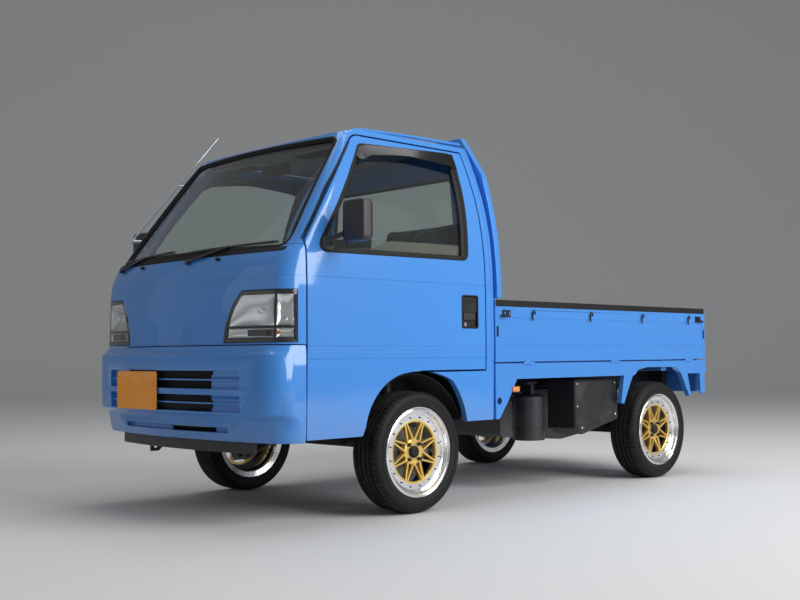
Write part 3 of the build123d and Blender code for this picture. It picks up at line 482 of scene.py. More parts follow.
def turned(name, profile, centre, side, material, steps, sharp=None):
    """A profile of (radius, distance from the truck's centre plane) carried round the Y axis through
    centre. Side is 1 on the truck's left and -1 on its right."""
    angle = np.linspace(0, 2 * np.pi, steps, endpoint=False)[:, None]
    radius, along = np.asarray(profile, float).T[:, None]
    x, z = centre[0] + radius * np.sin(angle), centre[2] + radius * np.cos(angle)
    points = np.stack([x, side * (along + 0 * angle), z], axis=-1)
    return grid_mesh(name, points, material, wrap_u=True, wrap_v=True, sharp=sharp)


def joined(pieces, name):
    """Several pieces as one mesh."""
    with bpy.context.temp_override(active_object=pieces[0], selected_editable_objects=pieces):
        bpy.ops.object.join()
    pieces[0].name = name
    return pieces[0]


def unit(vectors):
    """Vectors brought to length 1."""
    vectors = np.asarray(vectors, float)
    return vectors / np.maximum(np.linalg.norm(vectors, axis=-1, keepdims=True), 1e-12)


def spaced(points, step, loop=False):
    """A line's points set at even distances of about `step`."""
    points = np.asarray(points, float)
    points = np.concatenate([points, points[:1]]) if loop else points
    reach = np.concatenate([[0.0], np.cumsum(np.linalg.norm(np.diff(points, axis=0), axis=1))])
    at = np.linspace(0, reach[-1], max(2, round(reach[-1] / step) + 1))
    at = at[:-1] if loop else at
    return np.stack([np.interp(at, reach, points[:, n]) for n in range(points.shape[1])], axis=1)


def rounded_line(corners, per_span):
    """Smooth line through corners (Catmull-Rom): each span bends by its neighbours."""
    corners = np.asarray(corners, float)
    padded = np.concatenate([corners[:1] * 2 - corners[1:2], corners, corners[-1:] * 2 - corners[-2:-1]])
    t = np.linspace(0, 1, per_span, endpoint=False)[None, :, None]
    a, b, c, d = (padded[n : len(padded) - 3 + n, None, :] for n in range(4))
    line = 0.5 * (2 * b + (c - a) * t + (2 * a - 5 * b + 4 * c - d) * t**2 + (3 * b - a - 3 * c + d) * t**3)
    return np.concatenate([line.reshape(-1, corners.shape[1]), corners[-1:]])


def softened(corners, radius, per_corner=6):
    """Closed polygon with curved corners: start (1-t)^2 + 2 corner t (1-t) + end t^2, where start and
    end lie `radius` from the corner along its two edges."""
    corners = np.asarray(corners, float)
    start = corners + unit(np.roll(corners, 1, axis=0) - corners) * np.reshape(radius, (-1, 1))
    end = corners + unit(np.roll(corners, -1, axis=0) - corners) * np.reshape(radius, (-1, 1))
    t = np.linspace(0, 1, per_corner)[None, :, None]
    line = start[:, None] * (1 - t) ** 2 + 2 * corners[:, None] * t * (1 - t) + end[:, None] * t**2
    return line.reshape(-1, 2)


def oval(across, out, sides=12):
    """Section of a round or oval bar."""
    turn = np.linspace(0, 2 * np.pi, sides, endpoint=False)
    return np.stack([across * np.cos(turn), out * np.sin(turn)], axis=1)


def strip(width, low, high, edge=0.001):
    """Section of a strip: width across, from low to high, with its outer edges taken off."""
    half = width / 2
    return np.array([
        (-half, low), (half, low), (half, high - edge),
        (half - edge, high), (edge - half, high), (-half, high - edge),
    ])


def swept(name, line, outward, section, material, loop=False, sharp=40):
    """A closed section of (across, out) carried along a line. Out is the outward direction made square
    to the line. Across is out x along, and on a loop it is turned to point away from the middle."""
    line, section = np.asarray(line, float), np.asarray(section, float)
    along = unit(np.roll(line, -1, axis=0) - np.roll(line, 1, axis=0) if loop else np.gradient(line, axis=0))
    outward = np.broadcast_to(np.asarray(outward, float), line.shape)
    outward = unit(outward - along * np.sum(outward * along, axis=1, keepdims=True))
    across = np.cross(outward, along)
    if loop and np.sum((line - line.mean(axis=0)) * across) < 0:
        across = -across
    points = line[:, None] + across[:, None] * section[None, :, :1] + outward[:, None] * section[None, :, 1:]
    return grid_mesh(name, points, material, wrap_u=loop, wrap_v=True, ends=not loop, sharp=sharp)


def sheet(name, outer, inner, material, sharp=40):
    """Thin closed piece between two grids of the same shape."""
    points = np.concatenate([outer, inner[:, ::-1]], axis=1)
    return grid_mesh(name, points, material, wrap_v=True, ends=True, sharp=sharp)


def lathe(name, profile, origin, way, material, steps=32):
    """A profile of (radius, distance along `way`) carried round the line through origin."""
    way, profile = unit(way), np.asarray(profile, float)
    first = unit(np.cross(way, [0, 0, 1] if abs(way[2]) < 0.9 else [1, 0, 0]))
    turn = np.linspace(0, 2 * np.pi, steps, endpoint=False)[:, None, None]
    ring = np.cos(turn) * first + np.sin(turn) * np.cross(way, first)
    points = np.asarray(origin) + ring * profile[None, :, :1] + way * profile[None, :, 1:]
    return grid_mesh(name, points, material, wrap_u=True, wrap_v=True, sharp=35)


def soft_box(name, centre, size, edge, material, axes=None, steps=4):
    """Box with round edges: a corner of the inner box plus `edge` times a direction, which is also the
    surface's normal there. The rows of axes are the box's own three directions."""
    quarter = np.linspace(0, np.pi / 2, steps)
    turn = np.concatenate([n * np.pi / 2 + quarter for n in range(4)])
    rise = np.concatenate([quarter - np.pi / 2, quarter])[:, None]
    flat = np.cos(rise)
    way = np.stack([flat * np.cos(turn), flat * np.sin(turn), np.sin(rise) + 0 * turn], axis=-1)
    four, two = np.array([(1, 1), (-1, 1), (-1, -1), (1, -1)]), np.repeat([-1, 1], steps)[:, None]
    signs = np.stack(np.broadcast_arrays(*np.repeat(four, steps, axis=0).T, two), axis=-1)
    axes = np.eye(3) if axes is None else np.asarray(axes, float)
    points = (signs * (np.asarray(size) / 2 - edge) + edge * way) @ axes + np.asarray(centre)
    piece = grid_mesh(name, points, material, wrap_v=True, ends=True)
    piece.data.normals_split_custom_set_from_vertices((way @ axes).reshape(-1, 3).tolist())
    return piece


def stamped(name, outline, levels, place, material):
    """Plate from an outline of (a, b): each level scales the outline about its middle until its sides
    have moved in by an inset, and sets it at a height. place(a, b, height) puts it in space."""
    outline = np.asarray(outline, float)
    middle, half = (outline.max(axis=0) + outline.min(axis=0)) / 2, np.ptp(outline, axis=0) / 2
    rings = []
    for inset, height in levels:
        ring = middle + (outline - middle) * (1 - inset / half)
        rings.append(np.asarray(place(*ring.T, height + 0 * ring[:, 0])))
    return grid_mesh(name, np.stack(rings), material, wrap_v=True, ends=True, sharp=35)


def flat_on(origin, across, up_way):
    """A place function for stamped(): a flat plane through origin, with a and b along two directions."""
    across, up_way = unit(across), unit(up_way)
    normal = np.cross(across, up_way)

    def place(a, b, height):
        return np.asarray(origin) + a[:, None] * across + b[:, None] * up_way + height[:, None] * normal

    return place


def box_outline(width, height, radius):
    """Rectangle about the origin with round corners."""
    w, h = width / 2, height / 2
    return softened([(-w, -h), (w, -h), (w, h), (-w, h)], [radius] * 4)


# %% [markdown]
# ## The cab's form
# The cab was built from levels, each an outline in plan: two side walls, a shallow arc across the front
# and a round corner between them. Written as a function, the same table says how far any point stands
# outside the form, and the direction in which that distance grows is the surface's normal. The solids
# have a flat band between each two levels. The table's smooth curve gives normals without those bands,
# so paint on the door, the nose and the corner posts reflects as one pressed surface.

# %% Levels and distances
# Columns: height, half width, front on the centre line, front arc's end at the side, corner radius
LOWER = [
    (0.300, 0.688, 1.572, 1.510, 0.090), (0.738, 0.697, 1.602, 1.521, 0.090),
    (0.960, 0.697, 1.599, 1.513, 0.090), (1.020, 0.696, 1.586, 1.509, 0.090),
    (1.060, 0.695, 1.576, 1.494, 0.090), (1.105, 0.693, 1.555, 1.476, 0.084),
]
# Above the belt the front leans back evenly, on the centre line and at the arc's end
BELT, SCREEN_FOOT, SCREEN_LEAN = 1.142, (1.537, 1.434), (0.778, 0.682)
UPPER = [
    (BELT, 0.690, 0.072), (1.240, 0.679, 0.068), (1.340, 0.660, 0.063), (1.440, 0.632, 0.058),
    (1.530, 0.598, 0.053), (1.600, 0.569, 0.048), (1.660, 0.541, 0.044), (1.710, 0.511, 0.042),
    (1.760, 0.474, 0.040),
]
CAB = np.array(LOWER + [
    (z, half, *(foot - lean * (z - BELT) for foot, lean in zip(SCREEN_FOOT, SCREEN_LEAN)), corner)
    for z, half, corner in UPPER
])
BUMPER = np.array([
    (0.345, 0.690, 1.5860, 1.507, 0.110), (0.380, 0.695, 1.6060, 1.512, 0.110),
    (0.440, 0.696, 1.6110, 1.524, 0.110), (0.457, 0.697, 1.6365, 1.558, 0.110),
    (0.560, 0.697, 1.6395, 1.562, 0.110), (0.700, 0.697, 1.6355, 1.563, 0.110),
    (0.708, 0.696, 1.6255, 1.552, 0.110), (0.735, 0.693, 1.6160, 1.524, 0.110),
])
CAB_REAR, REAR_CORNER = 0.257, 0.030


def column(z, rows, number):
    """Smooth curve through one column of the table: each span is a cubic that leaves and meets the
    levels with the slope of their neighbours."""
    heights, values = rows[:, 0], rows[:, number]
    slope = np.gradient(values, heights)
    k = np.clip(np.searchsorted(heights, z) - 1, 0, len(heights) - 2)
    span = heights[k + 1] - heights[k]
    t = np.clip((z - heights[k]) / span, 0, 1)
    return (
        (2 * t**3 - 3 * t**2 + 1) * values[k]
        + (t**3 - 2 * t**2 + t) * span * slope[k]
        + (3 * t**2 - 2 * t**3) * values[k + 1]
        + (t**3 - t**2) * span * slope[k + 1]
    )


def plan(z, rows):
    """Parts of the plan at height z: half width, centre and radius of the front's arc, centre and radius
    of the corner's circle, and the heading at which the two meet."""
    half, nose, side, corner = (column(z, rows, n) for n in (1, 2, 3, 4))
    sag = nose - side
    big = (half**2 + sag**2) / (2 * sag)
    middle, corner_y = nose - big, half - corner
    corner_x = middle + np.sqrt((big - corner) ** 2 - corner_y**2)
    return half, middle, big, corner_x, corner_y, corner, np.arctan2(corner_y, corner_x - middle)


def plan_distance(points, rows):
    """How far points stand outside the walls: from the side wall, from the front arc or from the
    corner's circle, whichever zone of the plan the point is in, and the same at the square rear."""
    x, y = points[..., 0], np.abs(points[..., 1])
    half, middle, big, corner_x, corner_y, corner, meets = plan(points[..., 2], rows)
    front = np.hypot(x - middle, y) - big
    bend = np.hypot(x - corner_x, y - corner_y) - corner
    heading = np.arctan2(y - corner_y, x - corner_x)
    wall = np.where(x < corner_x, y - half, np.where(heading < meets, front, bend))
    rear_y = half - REAR_CORNER
    rear = np.where(y > rear_y, np.hypot(x - CAB_REAR - REAR_CORNER, y - rear_y) - REAR_CORNER, CAB_REAR - x)
    return np.where(x < CAB_REAR + REAR_CORNER, rear, wall)


def circle_height(t, a, b, c):
    """Height at t of the circle through three points of a curve that bulges upwards."""
    (ax, ay), (bx, by), (cx, cy) = a, b, c
    turn = 2 * (ax * (by - cy) + bx * (cy - ay) + cx * (ay - by))
    ox = ((ax**2 + ay**2) * (by - cy) + (bx**2 + by**2) * (cy - ay) + (cx**2 + cy**2) * (ay - by)) / turn
    oy = ((ax**2 + ay**2) * (cx - bx) + (bx**2 + by**2) * (ax - cx) + (cx**2 + cy**2) * (bx - ax)) / turn
    radius = math.hypot(ax - ox, ay - oy)
    return oy + np.sqrt(np.maximum(radius**2 - (t - ox) ** 2, 0))


def roof_height(x, y):
    """Roof's height: the lower of the long arc from front to back and the crown across, softly joined."""
    along = circle_height(np.minimum(x, 1.18), (0.237, 1.726), (0.820, 1.714), (1.180, 1.640))
    across = circle_height(y, (-0.8, 1.6424), (0.0, 1.726), (0.8, 1.6424))
    soft = 0.004
    return -soft * np.log(np.exp(-(along - 1.7) / soft) + np.exp(-(across - 1.7) / soft)) + 1.7


def roof_distance(points, rows):
    """How far points stand over the roof."""
    return points[..., 2] - roof_height(points[..., 0], points[..., 1])


def growth(distance, points, rows, step=0.0005):
    """Unit direction in which a distance grows, from small steps along each axis."""
    steps = np.eye(3) * step
    slope = np.stack([distance(points + s, rows) - distance(points - s, rows) for s in steps], axis=-1)
    return slope / np.maximum(np.linalg.norm(slope, axis=-1, keepdims=True), 1e-12)


def on_front(y, z, out=0.0, rows=CAB):
    """Points on the front over (y, z), moved out along the surface's normal, and those normals."""
    y, z = np.broadcast_arrays(np.asarray(y, float), np.asarray(z, float))
    _, middle, big, corner_x, corner_y, corner, meets = plan(z, rows)
    split = big * np.sin(meets)
    arc = middle + np.sqrt(big**2 - np.minimum(np.abs(y), split) ** 2)
    bend = corner_x + np.sqrt(np.maximum(corner**2 - (np.abs(y) - corner_y) ** 2, 0))
    points = np.stack([np.where(np.abs(y) < split, arc, bend), y, z], axis=-1)
    way = growth(plan_distance, points, rows)
    return points + np.asarray(out)[..., None] * way, way


def on_side(x, z, side, out=0.0, rows=CAB):
    """The same for the side wall over (x, z): side is 1 on the left and -1 on the right."""
    x, z = np.broadcast_arrays(np.asarray(x, float), np.asarray(z, float))
    _, _, _, corner_x, corner_y, corner, _ = plan(z, rows)
    y = corner_y + np.sqrt(corner**2 - np.clip(x - corner_x, 0, 0.95 * corner) ** 2)
    points = np.stack([x, side * y, z], axis=-1)
    way = growth(plan_distance, points, rows)
    return points + np.asarray(out)[..., None] * way, way


def on_lamp(s, z, side, deep=0.0):
    """The same round the front corner, deep behind the form. s is the distance round the plan from where
    the front's arc meets the corner: along the arc where negative, and round the corner where positive."""
    s, z = np.broadcast_arrays(np.asarray(s, float), np.asarray(z, float))
    _, middle, big, corner_x, corner_y, corner, meets = plan(z, CAB)
    arc, bend = meets + s / big, meets + s / corner
    x = np.where(s < 0, middle + big * np.cos(arc), corner_x + corner * np.cos(bend))
    y = np.where(s < 0, big * np.sin(arc), corner_y + corner * np.sin(bend))
    points = np.stack([x, side * y, z], axis=-1)
    way = growth(plan_distance, points, CAB)
    return points - np.asarray(deep)[..., None] * way, way


# %% [markdown]
# ## Dressing the solids
# The imported solids are loose triangles. For body panels a copy is joined, its pressed edges are rounded
# with a small bevel, and each face that lies along the form takes the form's own normals. Flat pieces
# only need the bevel, with normals weighted by face area, so those are live modifiers on the solid.

# %% Skins of the body panels
# Cosine of the most that a face may lean from the form and still take its normals
ALONG = math.cos(math.radians(34))
# Points this near are one, faces this even are merged, and edges over this angle are rounded
SAME_POINT, FLAT, SHARP = 0.00002, math.radians(0.5), math.radians(32)


def read(items, key, width=1, kind=float):
    """One value of every vertex, face or corner of a mesh as an array, with `width` numbers each."""
    values = np.empty(len(items) * width, kind)
    items.foreach_get(key, values)
    return values.reshape(-1, width) if width > 1 else values


def bake(piece):
    """Applies the piece's modifiers to its mesh."""
    bpy.context.view_layer.update()
    shape = bpy.data.meshes.new_from_object(piece.evaluated_get(bpy.context.evaluated_depsgraph_get()))
    piece.modifiers.clear()
    piece.data = shape
    return shape


def rounded(piece, edge, merge=True):
    """Joins a solid's triangles, merges those that lie flat together, and rounds the sharper edges."""
    weld = piece.modifiers.new("join", "WELD")
    weld.merge_threshold = SAME_POINT
    if edge and merge:
        flat = piece.modifiers.new("flat", "DECIMATE")
        flat.decimate_type, flat.angle_limit, flat.delimit = "DISSOLVE", FLAT, {"NORMAL"}
    if edge:
        bevel = piece.modifiers.new("edge", "BEVEL")
        bevel.width, bevel.segments = edge, 2
        bevel.limit_method, bevel.angle_limit = "ANGLE", SHARP
        bevel.use_clamp_overlap = False
    return piece


def skin(name, material, rows=CAB, edge=0.003):
    """A panel as one smooth pressing. Each face takes the normals of whichever surface of the form it
    lies along, outside or inside, and the others keep their own."""
    source = nodes[name]
    piece = bpy.data.objects.new(name + "_skin", source.data.copy())
    scene.collection.objects.link(piece)
    shape = bake(rounded(piece, edge))
    shape.materials.clear()
    shape.materials.append(material)
    if "custom_normal" in shape.attributes:
        shape.attributes.remove(shape.attributes["custom_normal"])
    shape.polygons.foreach_set("use_smooth", np.ones(len(shape.polygons), bool))
    corners = read(shape.loops, "vertex_index", kind=int)
    at = read(shape.vertices, "co", 3)[corners]
    sizes = read(shape.polygons, "loop_total", kind=int)
    owner = np.repeat(read(shape.polygons, "normal", 3), sizes, axis=0)
    best, chosen = np.full(len(corners), ALONG), owner.copy()
    for distance in (plan_distance, roof_distance):
        way = growth(distance, at, rows)
        for sign in (1, -1):
            match = np.einsum("ij,ij->i", way * sign, owner)
            better = match > best
            chosen[better], best[better] = sign * way[better], match[better]
    shape.normals_split_custom_set(chosen.tolist())
    return keep(piece, source["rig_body"], (name,))


for name in "nose_panel cab_side_left cab_side_right door_left door_right".split():
    skin(name, cab_paint)
for name in "cab_back_wall cab_roof".split():
    skin(name, paint)
skin("front_bumper", paint, BUMPER, 0.0035)
for name in "windscreen door_glass_left door_glass_right".split():
    skin(name, window_glass, edge=0.0)

# %% Finish for the other solids
FINISH = {
    "blue_paint": "rear_panel headboard hoop side_sill_left side_sill_right "
                  "side_gate_left side_gate_right tail_gate",
    # The deck takes the darker blue, a painted shade for where it lies inside the bed.
    "blue_bed_paint": "load_deck",
    "bright_steel": "aerial",
    "black_plastic": "wipers bumper_skirt steering_column steering_wheel air_cleaner "
                     "door_fittings_left door_fittings_right",
    "grey_plastic": "dashboard",
    "mat_rubber": "cab_floor",
    "window_glass": "rear_window",
    "chassis_black": "ladder_frame rear_axle fuel_tank battery_box front_suspension",
    "cast_metal": "engine_block knuckle_left knuckle_right",
    "exhaust_steel": "exhaust",
}
# Radius of a rounded edge, in metres
EDGE, THIN_EDGES = 0.0025, {"rear_window": 0.0, "aerial": 0.0004, "wipers": 0.0010}
NOTCHED = "rear_panel"


def dress(name, material):
    """Gives a solid its finish, and joins, rounds and smooths it without touching its own mesh. Thin
    pieces get a finer edge, and the notched panel's faces stay as they are."""
    piece = rounded(nodes[name], THIN_EDGES.get(name, EDGE), name != NOTCHED)
    piece.data.materials.clear()
    piece.data.materials.append(material)
    smooth = piece.modifiers.new("shade", "WEIGHTED_NORMAL")
    smooth.weight = 100
    return piece


for material_name, names in FINISH.items():
    for name in names.split():
        dress(name, bpy.data.materials[material_name])
print("dressed", len(nodes), "solids")

# %% [markdown]
# ## Window rubber and trim
# Glass in a vehicle of this kind sits in a rubber frame. Its section is one small closed shape, which is
# carried round the opening while it leans with the body's own normal, so it stays even on curved panels.

# %% Seals, deflectors and mouldings
SEAL = [
    (-0.0160, -0.0112), (-0.0155, -0.0060), (-0.0060, 0.0012), (-0.0030, 0.0024), (0.0050, 0.0026),
    (0.0074, 0.0012), (0.0078, -0.0004), (0.0010, -0.0008), (0.0005, -0.0112),
]
RIDGES = [
    (-0.0055, -0.001), (0.0055, -0.001), (0.0050, 0.0012), (0.0025, 0.0018), (0, 0.0004), (-0.0025, 0.0018),
    (-0.005, 0.0012),
]


def opening(*corners):
    """A window's outline: the place of each corner, and the radius that rounds it."""
    return softened([corner[:2] for corner in corners], [corner[2] for corner in corners], 12)


DOOR_WINDOW = opening(
    (1.352, 1.120, 0.066), (1.003, 1.612, 0.018), (0.398, 1.640, 0.039), (0.450, 1.130, 0.030)
)
SCREEN = opening((-0.634, 1.136, 0.056), (0.634, 1.136, 0.056), (0.534, 1.638, 0.038), (-0.534, 1.638, 0.038))
PANE = opening((-0.470, 1.150, 0.050), (0.470, 1.150, 0.050), (0.430, 1.560, 0.041), (-0.430, 1.560, 0.041))
# Wind deflector along the top of a door's window: X and Z of its upper and of its lower edge
DEFLECTOR = np.array([
    (1.046, 1.552, 1.036, 1.532), (1.012, 1.598, 1.010, 1.534), (0.966, 1.614, 0.973, 1.556),
    (0.826, 1.623, 0.826, 1.575), (0.719, 1.628, 0.719, 1.583), (0.475, 1.638, 0.475, 1.568),
    (0.398, 1.641, 0.420, 1.558),
])
# Moulding behind the glass along its lower edge: X and Z of its top, and Z of its foot
MOULDING = np.array([
    (1.300, 1.132), (1.275, 1.134), (1.021, 1.147), (0.920, 1.187), (0.700, 1.192), (0.440, 1.196),
])
MOULDING_FOOT = 1.108
PILLAR_STRIP = [(1.414, 1.160), (1.254, 1.392), (1.070, 1.612)]
SIDES = ((1, "left"), (-1, "right"))


def band(name, bottom, top, side, out, thick, material, steps):
    """Strip on the side wall between two lines of (X, Z). Its distance outside the wall changes evenly
    from bottom to top, and it is `thick` deep."""
    v = np.linspace(0, 1, steps)
    x, z = (bottom[:, n, None] * (1 - v) + top[:, n, None] * v for n in (0, 1))
    away = out[0] + (out[1] - out[0]) * v + 0 * x
    return sheet(name, on_side(x, z, side, away)[0], on_side(x, z, side, away - thick)[0], material)


for side, way in SIDES:
    body = f"door_{way}_body"
    edge = spaced(DOOR_WINDOW, 0.014, loop=True)
    keep(swept(f"window_seal_{way}", *on_side(*edge.T, side), SEAL, seal_rubber, loop=True), body)
    rows = spaced(DEFLECTOR, 0.02)
    keep(band(f"deflector_{way}", rows[:, 2:], rows[:, :2], side, (0.019, 0.0035), 0.0025, smoked, 7), body)
    rows = spaced(MOULDING, 0.03)
    foot = np.stack([rows[:, 0], 0 * rows[:, 0] + MOULDING_FOOT], axis=1)
    keep(band(f"window_moulding_{way}", foot, rows, side, (-0.021, -0.021), 0.010, brown_trim, 6), body)
    z = np.linspace(1.125, 1.632, 24)[:, None]
    x = np.interp(z, [1.130, 1.640], [0.450, 0.398]) + np.array([-0.004, 0.036])
    points = [on_side(x, z, side, out)[0] for out in (-0.004, -0.0118)]
    keep(sheet(f"window_post_{way}", *points, black_plastic), body)
    line = spaced(PILLAR_STRIP, 0.03)
    keep(swept(f"pillar_strip_{way}", *on_side(*line.T, side), RIDGES, seal_rubber, sharp=60))

keep(swept("screen_seal", *on_front(*spaced(SCREEN, 0.016, loop=True).T), SEAL, seal_rubber, loop=True))
line = np.insert(spaced(PANE, 0.016, loop=True), 0, CAB_REAR, axis=1)
keep(swept("rear_window_seal", line, (-1, 0, 0), SEAL, seal_rubber, loop=True))
y = np.linspace(-0.640, 0.640, 48)[:, None]
foot = 1.110 + 0.006 * (np.abs(y) / 0.64) ** 2
z = foot + (1.131 - foot) * np.linspace(0, 1, 5)
keep(sheet("screen_cowl", *(on_front(y, z, out)[0] for out in (0.0016, -0.001)), black_plastic))
nozzles = []
for y in (-0.312, 0.286):
    place, out = on_front(y, 1.096, 0.004)
    axes = (out, (0, 1, 0), np.cross(out, (0, 1, 0)))
    nozzles.append(soft_box("nozzle", place, (0.016, 0.024, 0.009), 0.003, black_plastic, axes))
keep(joined(nozzles, "washer_nozzles"))

# %% [markdown]
# ## Headlamps
# A lamp wraps round the front corner, so it is drawn on the form unrolled: one direction runs round the
# plan and the other is height. A clear lens follows the form. Behind it a black surround frames chambers
# whose reflectors are dishes, deep in the middle and shallow at the rim.

# %% Lens, surround, reflectors and bulbs
# Heights of the lens, X of its rear end, Y of the upright divider, heights of the chambers and of the
# level divider between them
LAMP_LOW, LAMP_HIGH, LAMP_REAR, LAMP_SPLIT_Y = 0.748, 0.955, 1.4545, 0.644
CHAMBER_LOW, CHAMBER_HIGH, DIVIDER = 0.762, 0.941, (0.806, 0.812)


def round_plan(y, z):
    """Distance round the plan of a point on the front's arc at y, from where the corner begins."""
    _, _, big, _, _, _, meets = plan(z, CAB)
    return (np.arcsin(np.clip(y / big, 0, np.sin(meets))) - meets) * big


def lamp_inner(z):
    """The lamp's inner edge: part of a circle, and a straight slope above it."""
    curve = -circle_height(z, (0.746, -0.366), (0.845, -0.390), (0.936, -0.447))
    return round_plan(np.where(z < 0.936, curve, 0.447 + (z - 0.936) * 23 / 21), z)


def lamp_outer(z):
    """The lamp's outer edge, on the side wall at a fixed X."""
    _, _, _, corner_x, _, corner, meets = plan(z, CAB)
    return (np.arccos(np.clip((LAMP_REAR - corner_x) / corner, -1, 1)) - meets) * corner


def lamp_split(z):
    """The upright divider between the two upper chambers."""
    _, _, _, corner_x, corner_y, corner, meets = plan(z, CAB)
    return (np.arcsin((LAMP_SPLIT_Y - corner_y) / corner) - meets) * corner


def patch(left, right, low, high, across=24, tall=14):
    """Grid over part of the lamp: left and right edges as functions of height with an inset."""
    u, v = np.meshgrid(np.linspace(0, 1, across), np.linspace(0, 1, tall), indexing="ij")
    z = low + (high - low) * v
    start, end = left[0](z) + left[1], right[0](z) - right[1]
    return start + (end - start) * u, z, u, v


def rim_of(grid):
    """The border of a grid, once round."""
    return np.concatenate([grid[:-1, 0], grid[-1, :-1], grid[:0:-1, -1], grid[0, :0:-1]])


def between(name, area, front, back, side, material, sharp=40):
    """Closed piece over part of the lamp, from one depth behind the form to another."""
    return sheet(name, *(on_lamp(*area[:2], side, deep)[0] for deep in (front, back)), material, sharp)


def dish(side, name, left, right, heights, counts, depths, power):
    """Reflector: its depth is shallow + (deep - shallow)(1 - |2u-1|^p)(1 - |2v-1|^p)."""
    area = patch(left, right, *heights, *counts)
    hollow = (1 - np.abs(2 * area[2] - 1) ** power) * (1 - np.abs(2 * area[3] - 1) ** power)
    depth = depths[0] + (depths[1] - depths[0]) * hollow
    return between(name, area, depth, depth + 0.0025, side, lamp_chrome, 60)


# Reflectors: name, left and right edge with its inset, heights, grid, least and most depth, power
UPPER_HEIGHTS, LOWER_HEIGHTS = (0.814, 0.938), (0.766, 0.803)
DISHES = [
    ("main", (lamp_inner, 0.018), (lamp_split, 0.006), UPPER_HEIGHTS, (40, 28), (0.010, 0.030), 3),
    ("outer", (lamp_split, 0.006), (lamp_outer, 0.012), UPPER_HEIGHTS, (24, 28), (0.010, 0.028), 4),
    ("low", (lamp_inner, 0.020), (lamp_split, 0.006), LOWER_HEIGHTS, (40, 12), (0.012, 0.024), 6),
    ("corner", (lamp_split, 0.006), (lamp_outer, 0.012), LOWER_HEIGHTS, (24, 12), (0.012, 0.026), 4),
]


def headlamp(side, way):
    """One lamp: its lens, black surround, reflectors with their bulbs, indicator bulb and position light."""
    whole = patch((lamp_inner, 0.001), (lamp_outer, 0.001), LAMP_LOW, LAMP_HIGH, 40, 20)
    u, v = whole[2:]
    edge = np.minimum(1, 14 * np.minimum(np.minimum(u, 1 - u), np.minimum(v, 1 - v)))
    drop = 0.0018 * (1 - np.sqrt(1 - (1 - edge) ** 2))
    lens = between(f"lens_{way}", whole, drop, 0.0035, side, lamp_glass, 50)
    inside = patch((lamp_inner, 0.016), (lamp_outer, 0.010), CHAMBER_LOW, CHAMBER_HIGH, 40, 20)
    rings = [
        on_lamp(rim_of(grid[0]), rim_of(grid[1]), side, deep)[0]
        for grid, deep in ((whole, 0.0045), (inside, 0.0060), (inside, 0.0335), (whole, 0.0350))
    ]
    dark = [grid_mesh(f"surround_{way}", np.stack(rings), black_plastic, wrap_u=True, wrap_v=True, sharp=35)]
    dark.append(between("back", inside, 0.0325, 0.0345, side, black_plastic))
    upright = patch((lamp_split, -0.004), (lamp_split, -0.004), CHAMBER_LOW, CHAMBER_HIGH, 3, 20)
    across = patch((lamp_inner, 0.014), (lamp_outer, 0.009), *DIVIDER, 40, 3)
    dark += [between("bar", bar, 0.0065, 0.033, side, black_plastic) for bar in (upright, across)]
    chrome = [dish(side, *row) for row in DISHES]
    for s, z, size in ((-0.070, 0.876, 0.017), (0.062, 0.838, 0.009)):
        dome = [(0.0001, size * 0.75), (size * 0.5, size * 0.68), (size * 0.85, size * 0.35), (size, 0)]
        dome += [(size, -0.006), (0.0001, -0.006)]
        chrome.append(lathe("bulb", dome, *on_lamp(s, z, side, 0.024), lamp_chrome, 24))
    tip = [(0.0001, 0.011), (0.006, 0.009), (0.009, 0.003), (0.009, -0.006), (0.0001, -0.006)]
    amber = lathe(f"indicator_bulb_{way}", tip, *on_lamp(0.030, 0.785, side, 0.016), amber_lens, 24)
    ends = [(lambda z, y=y: round_plan(y, z), 0.0) for y in (0.500, 0.600)]
    light = patch(*ends, 0.772, 0.798, 8, 6)
    grey = between(f"position_light_{way}", light, 0.010, 0.014, side, grey_plastic)
    return lens, joined(dark, f"surround_{way}"), joined(chrome, f"reflector_{way}"), amber, grey


LAMP_SLOTS = ("lamp_lens", "black_plastic", "bright_steel", "lamp_lens", "grey_plastic")
for *pair, slot in zip(headlamp(*SIDES[0]), headlamp(*SIDES[1]), LAMP_SLOTS):
    name = pair[0].name.replace("left", "pair")
    keep(joined(pair, name), instead_of=("headlamps",) if name == "lens_pair" else ())
    print(name, "for", slot)

# %% [markdown]
# ## Plate, bumper openings and door handles
# A pressed plate, a lens or a paddle is an outline drawn in and raised step by step, so one function makes
# them all. Behind the bumper's slots hangs a black mesh that keeps stones from the radiator.

# %% Front and door details
ACROSS, UP = (0, 1, 0), (0, 0, 1)
PLATE_Y, PLATE_Z = -0.195, 0.547
PLATE_LEVELS = [
    (0.0, -0.0006), (0.0, 0.0004), (0.0015, 0.0014), (0.0045, 0.0014), (0.0065, 0.0004), (0.07, 0.0004),
]
SCREW_HEAD = [(0.0001, 0.0013), (0.005, 0.0012), (0.007, 0.0006), (0.007, -0.001), (0.0001, -0.001)]
plate_at = flat_on((1.6461, PLATE_Y, PLATE_Z), ACROSS, UP)
plate = [stamped("plate", box_outline(0.330, 0.165, 0.012), PLATE_LEVELS, plate_at, orange_plate)]
for y in (-0.075, 0.075):
    plate.append(lathe("screw", SCREW_HEAD, (1.6462, PLATE_Y + y, 0.612), (1, 0, 0), bright_steel, 20))
plate.append(soft_box("bracket", (1.6380, PLATE_Y, PLATE_Z), (0.0150, 0.180, 0.022), 0.002, black_plastic))
keep(joined(plate, "number_plate_pressed"), instead_of=("number_plate",))

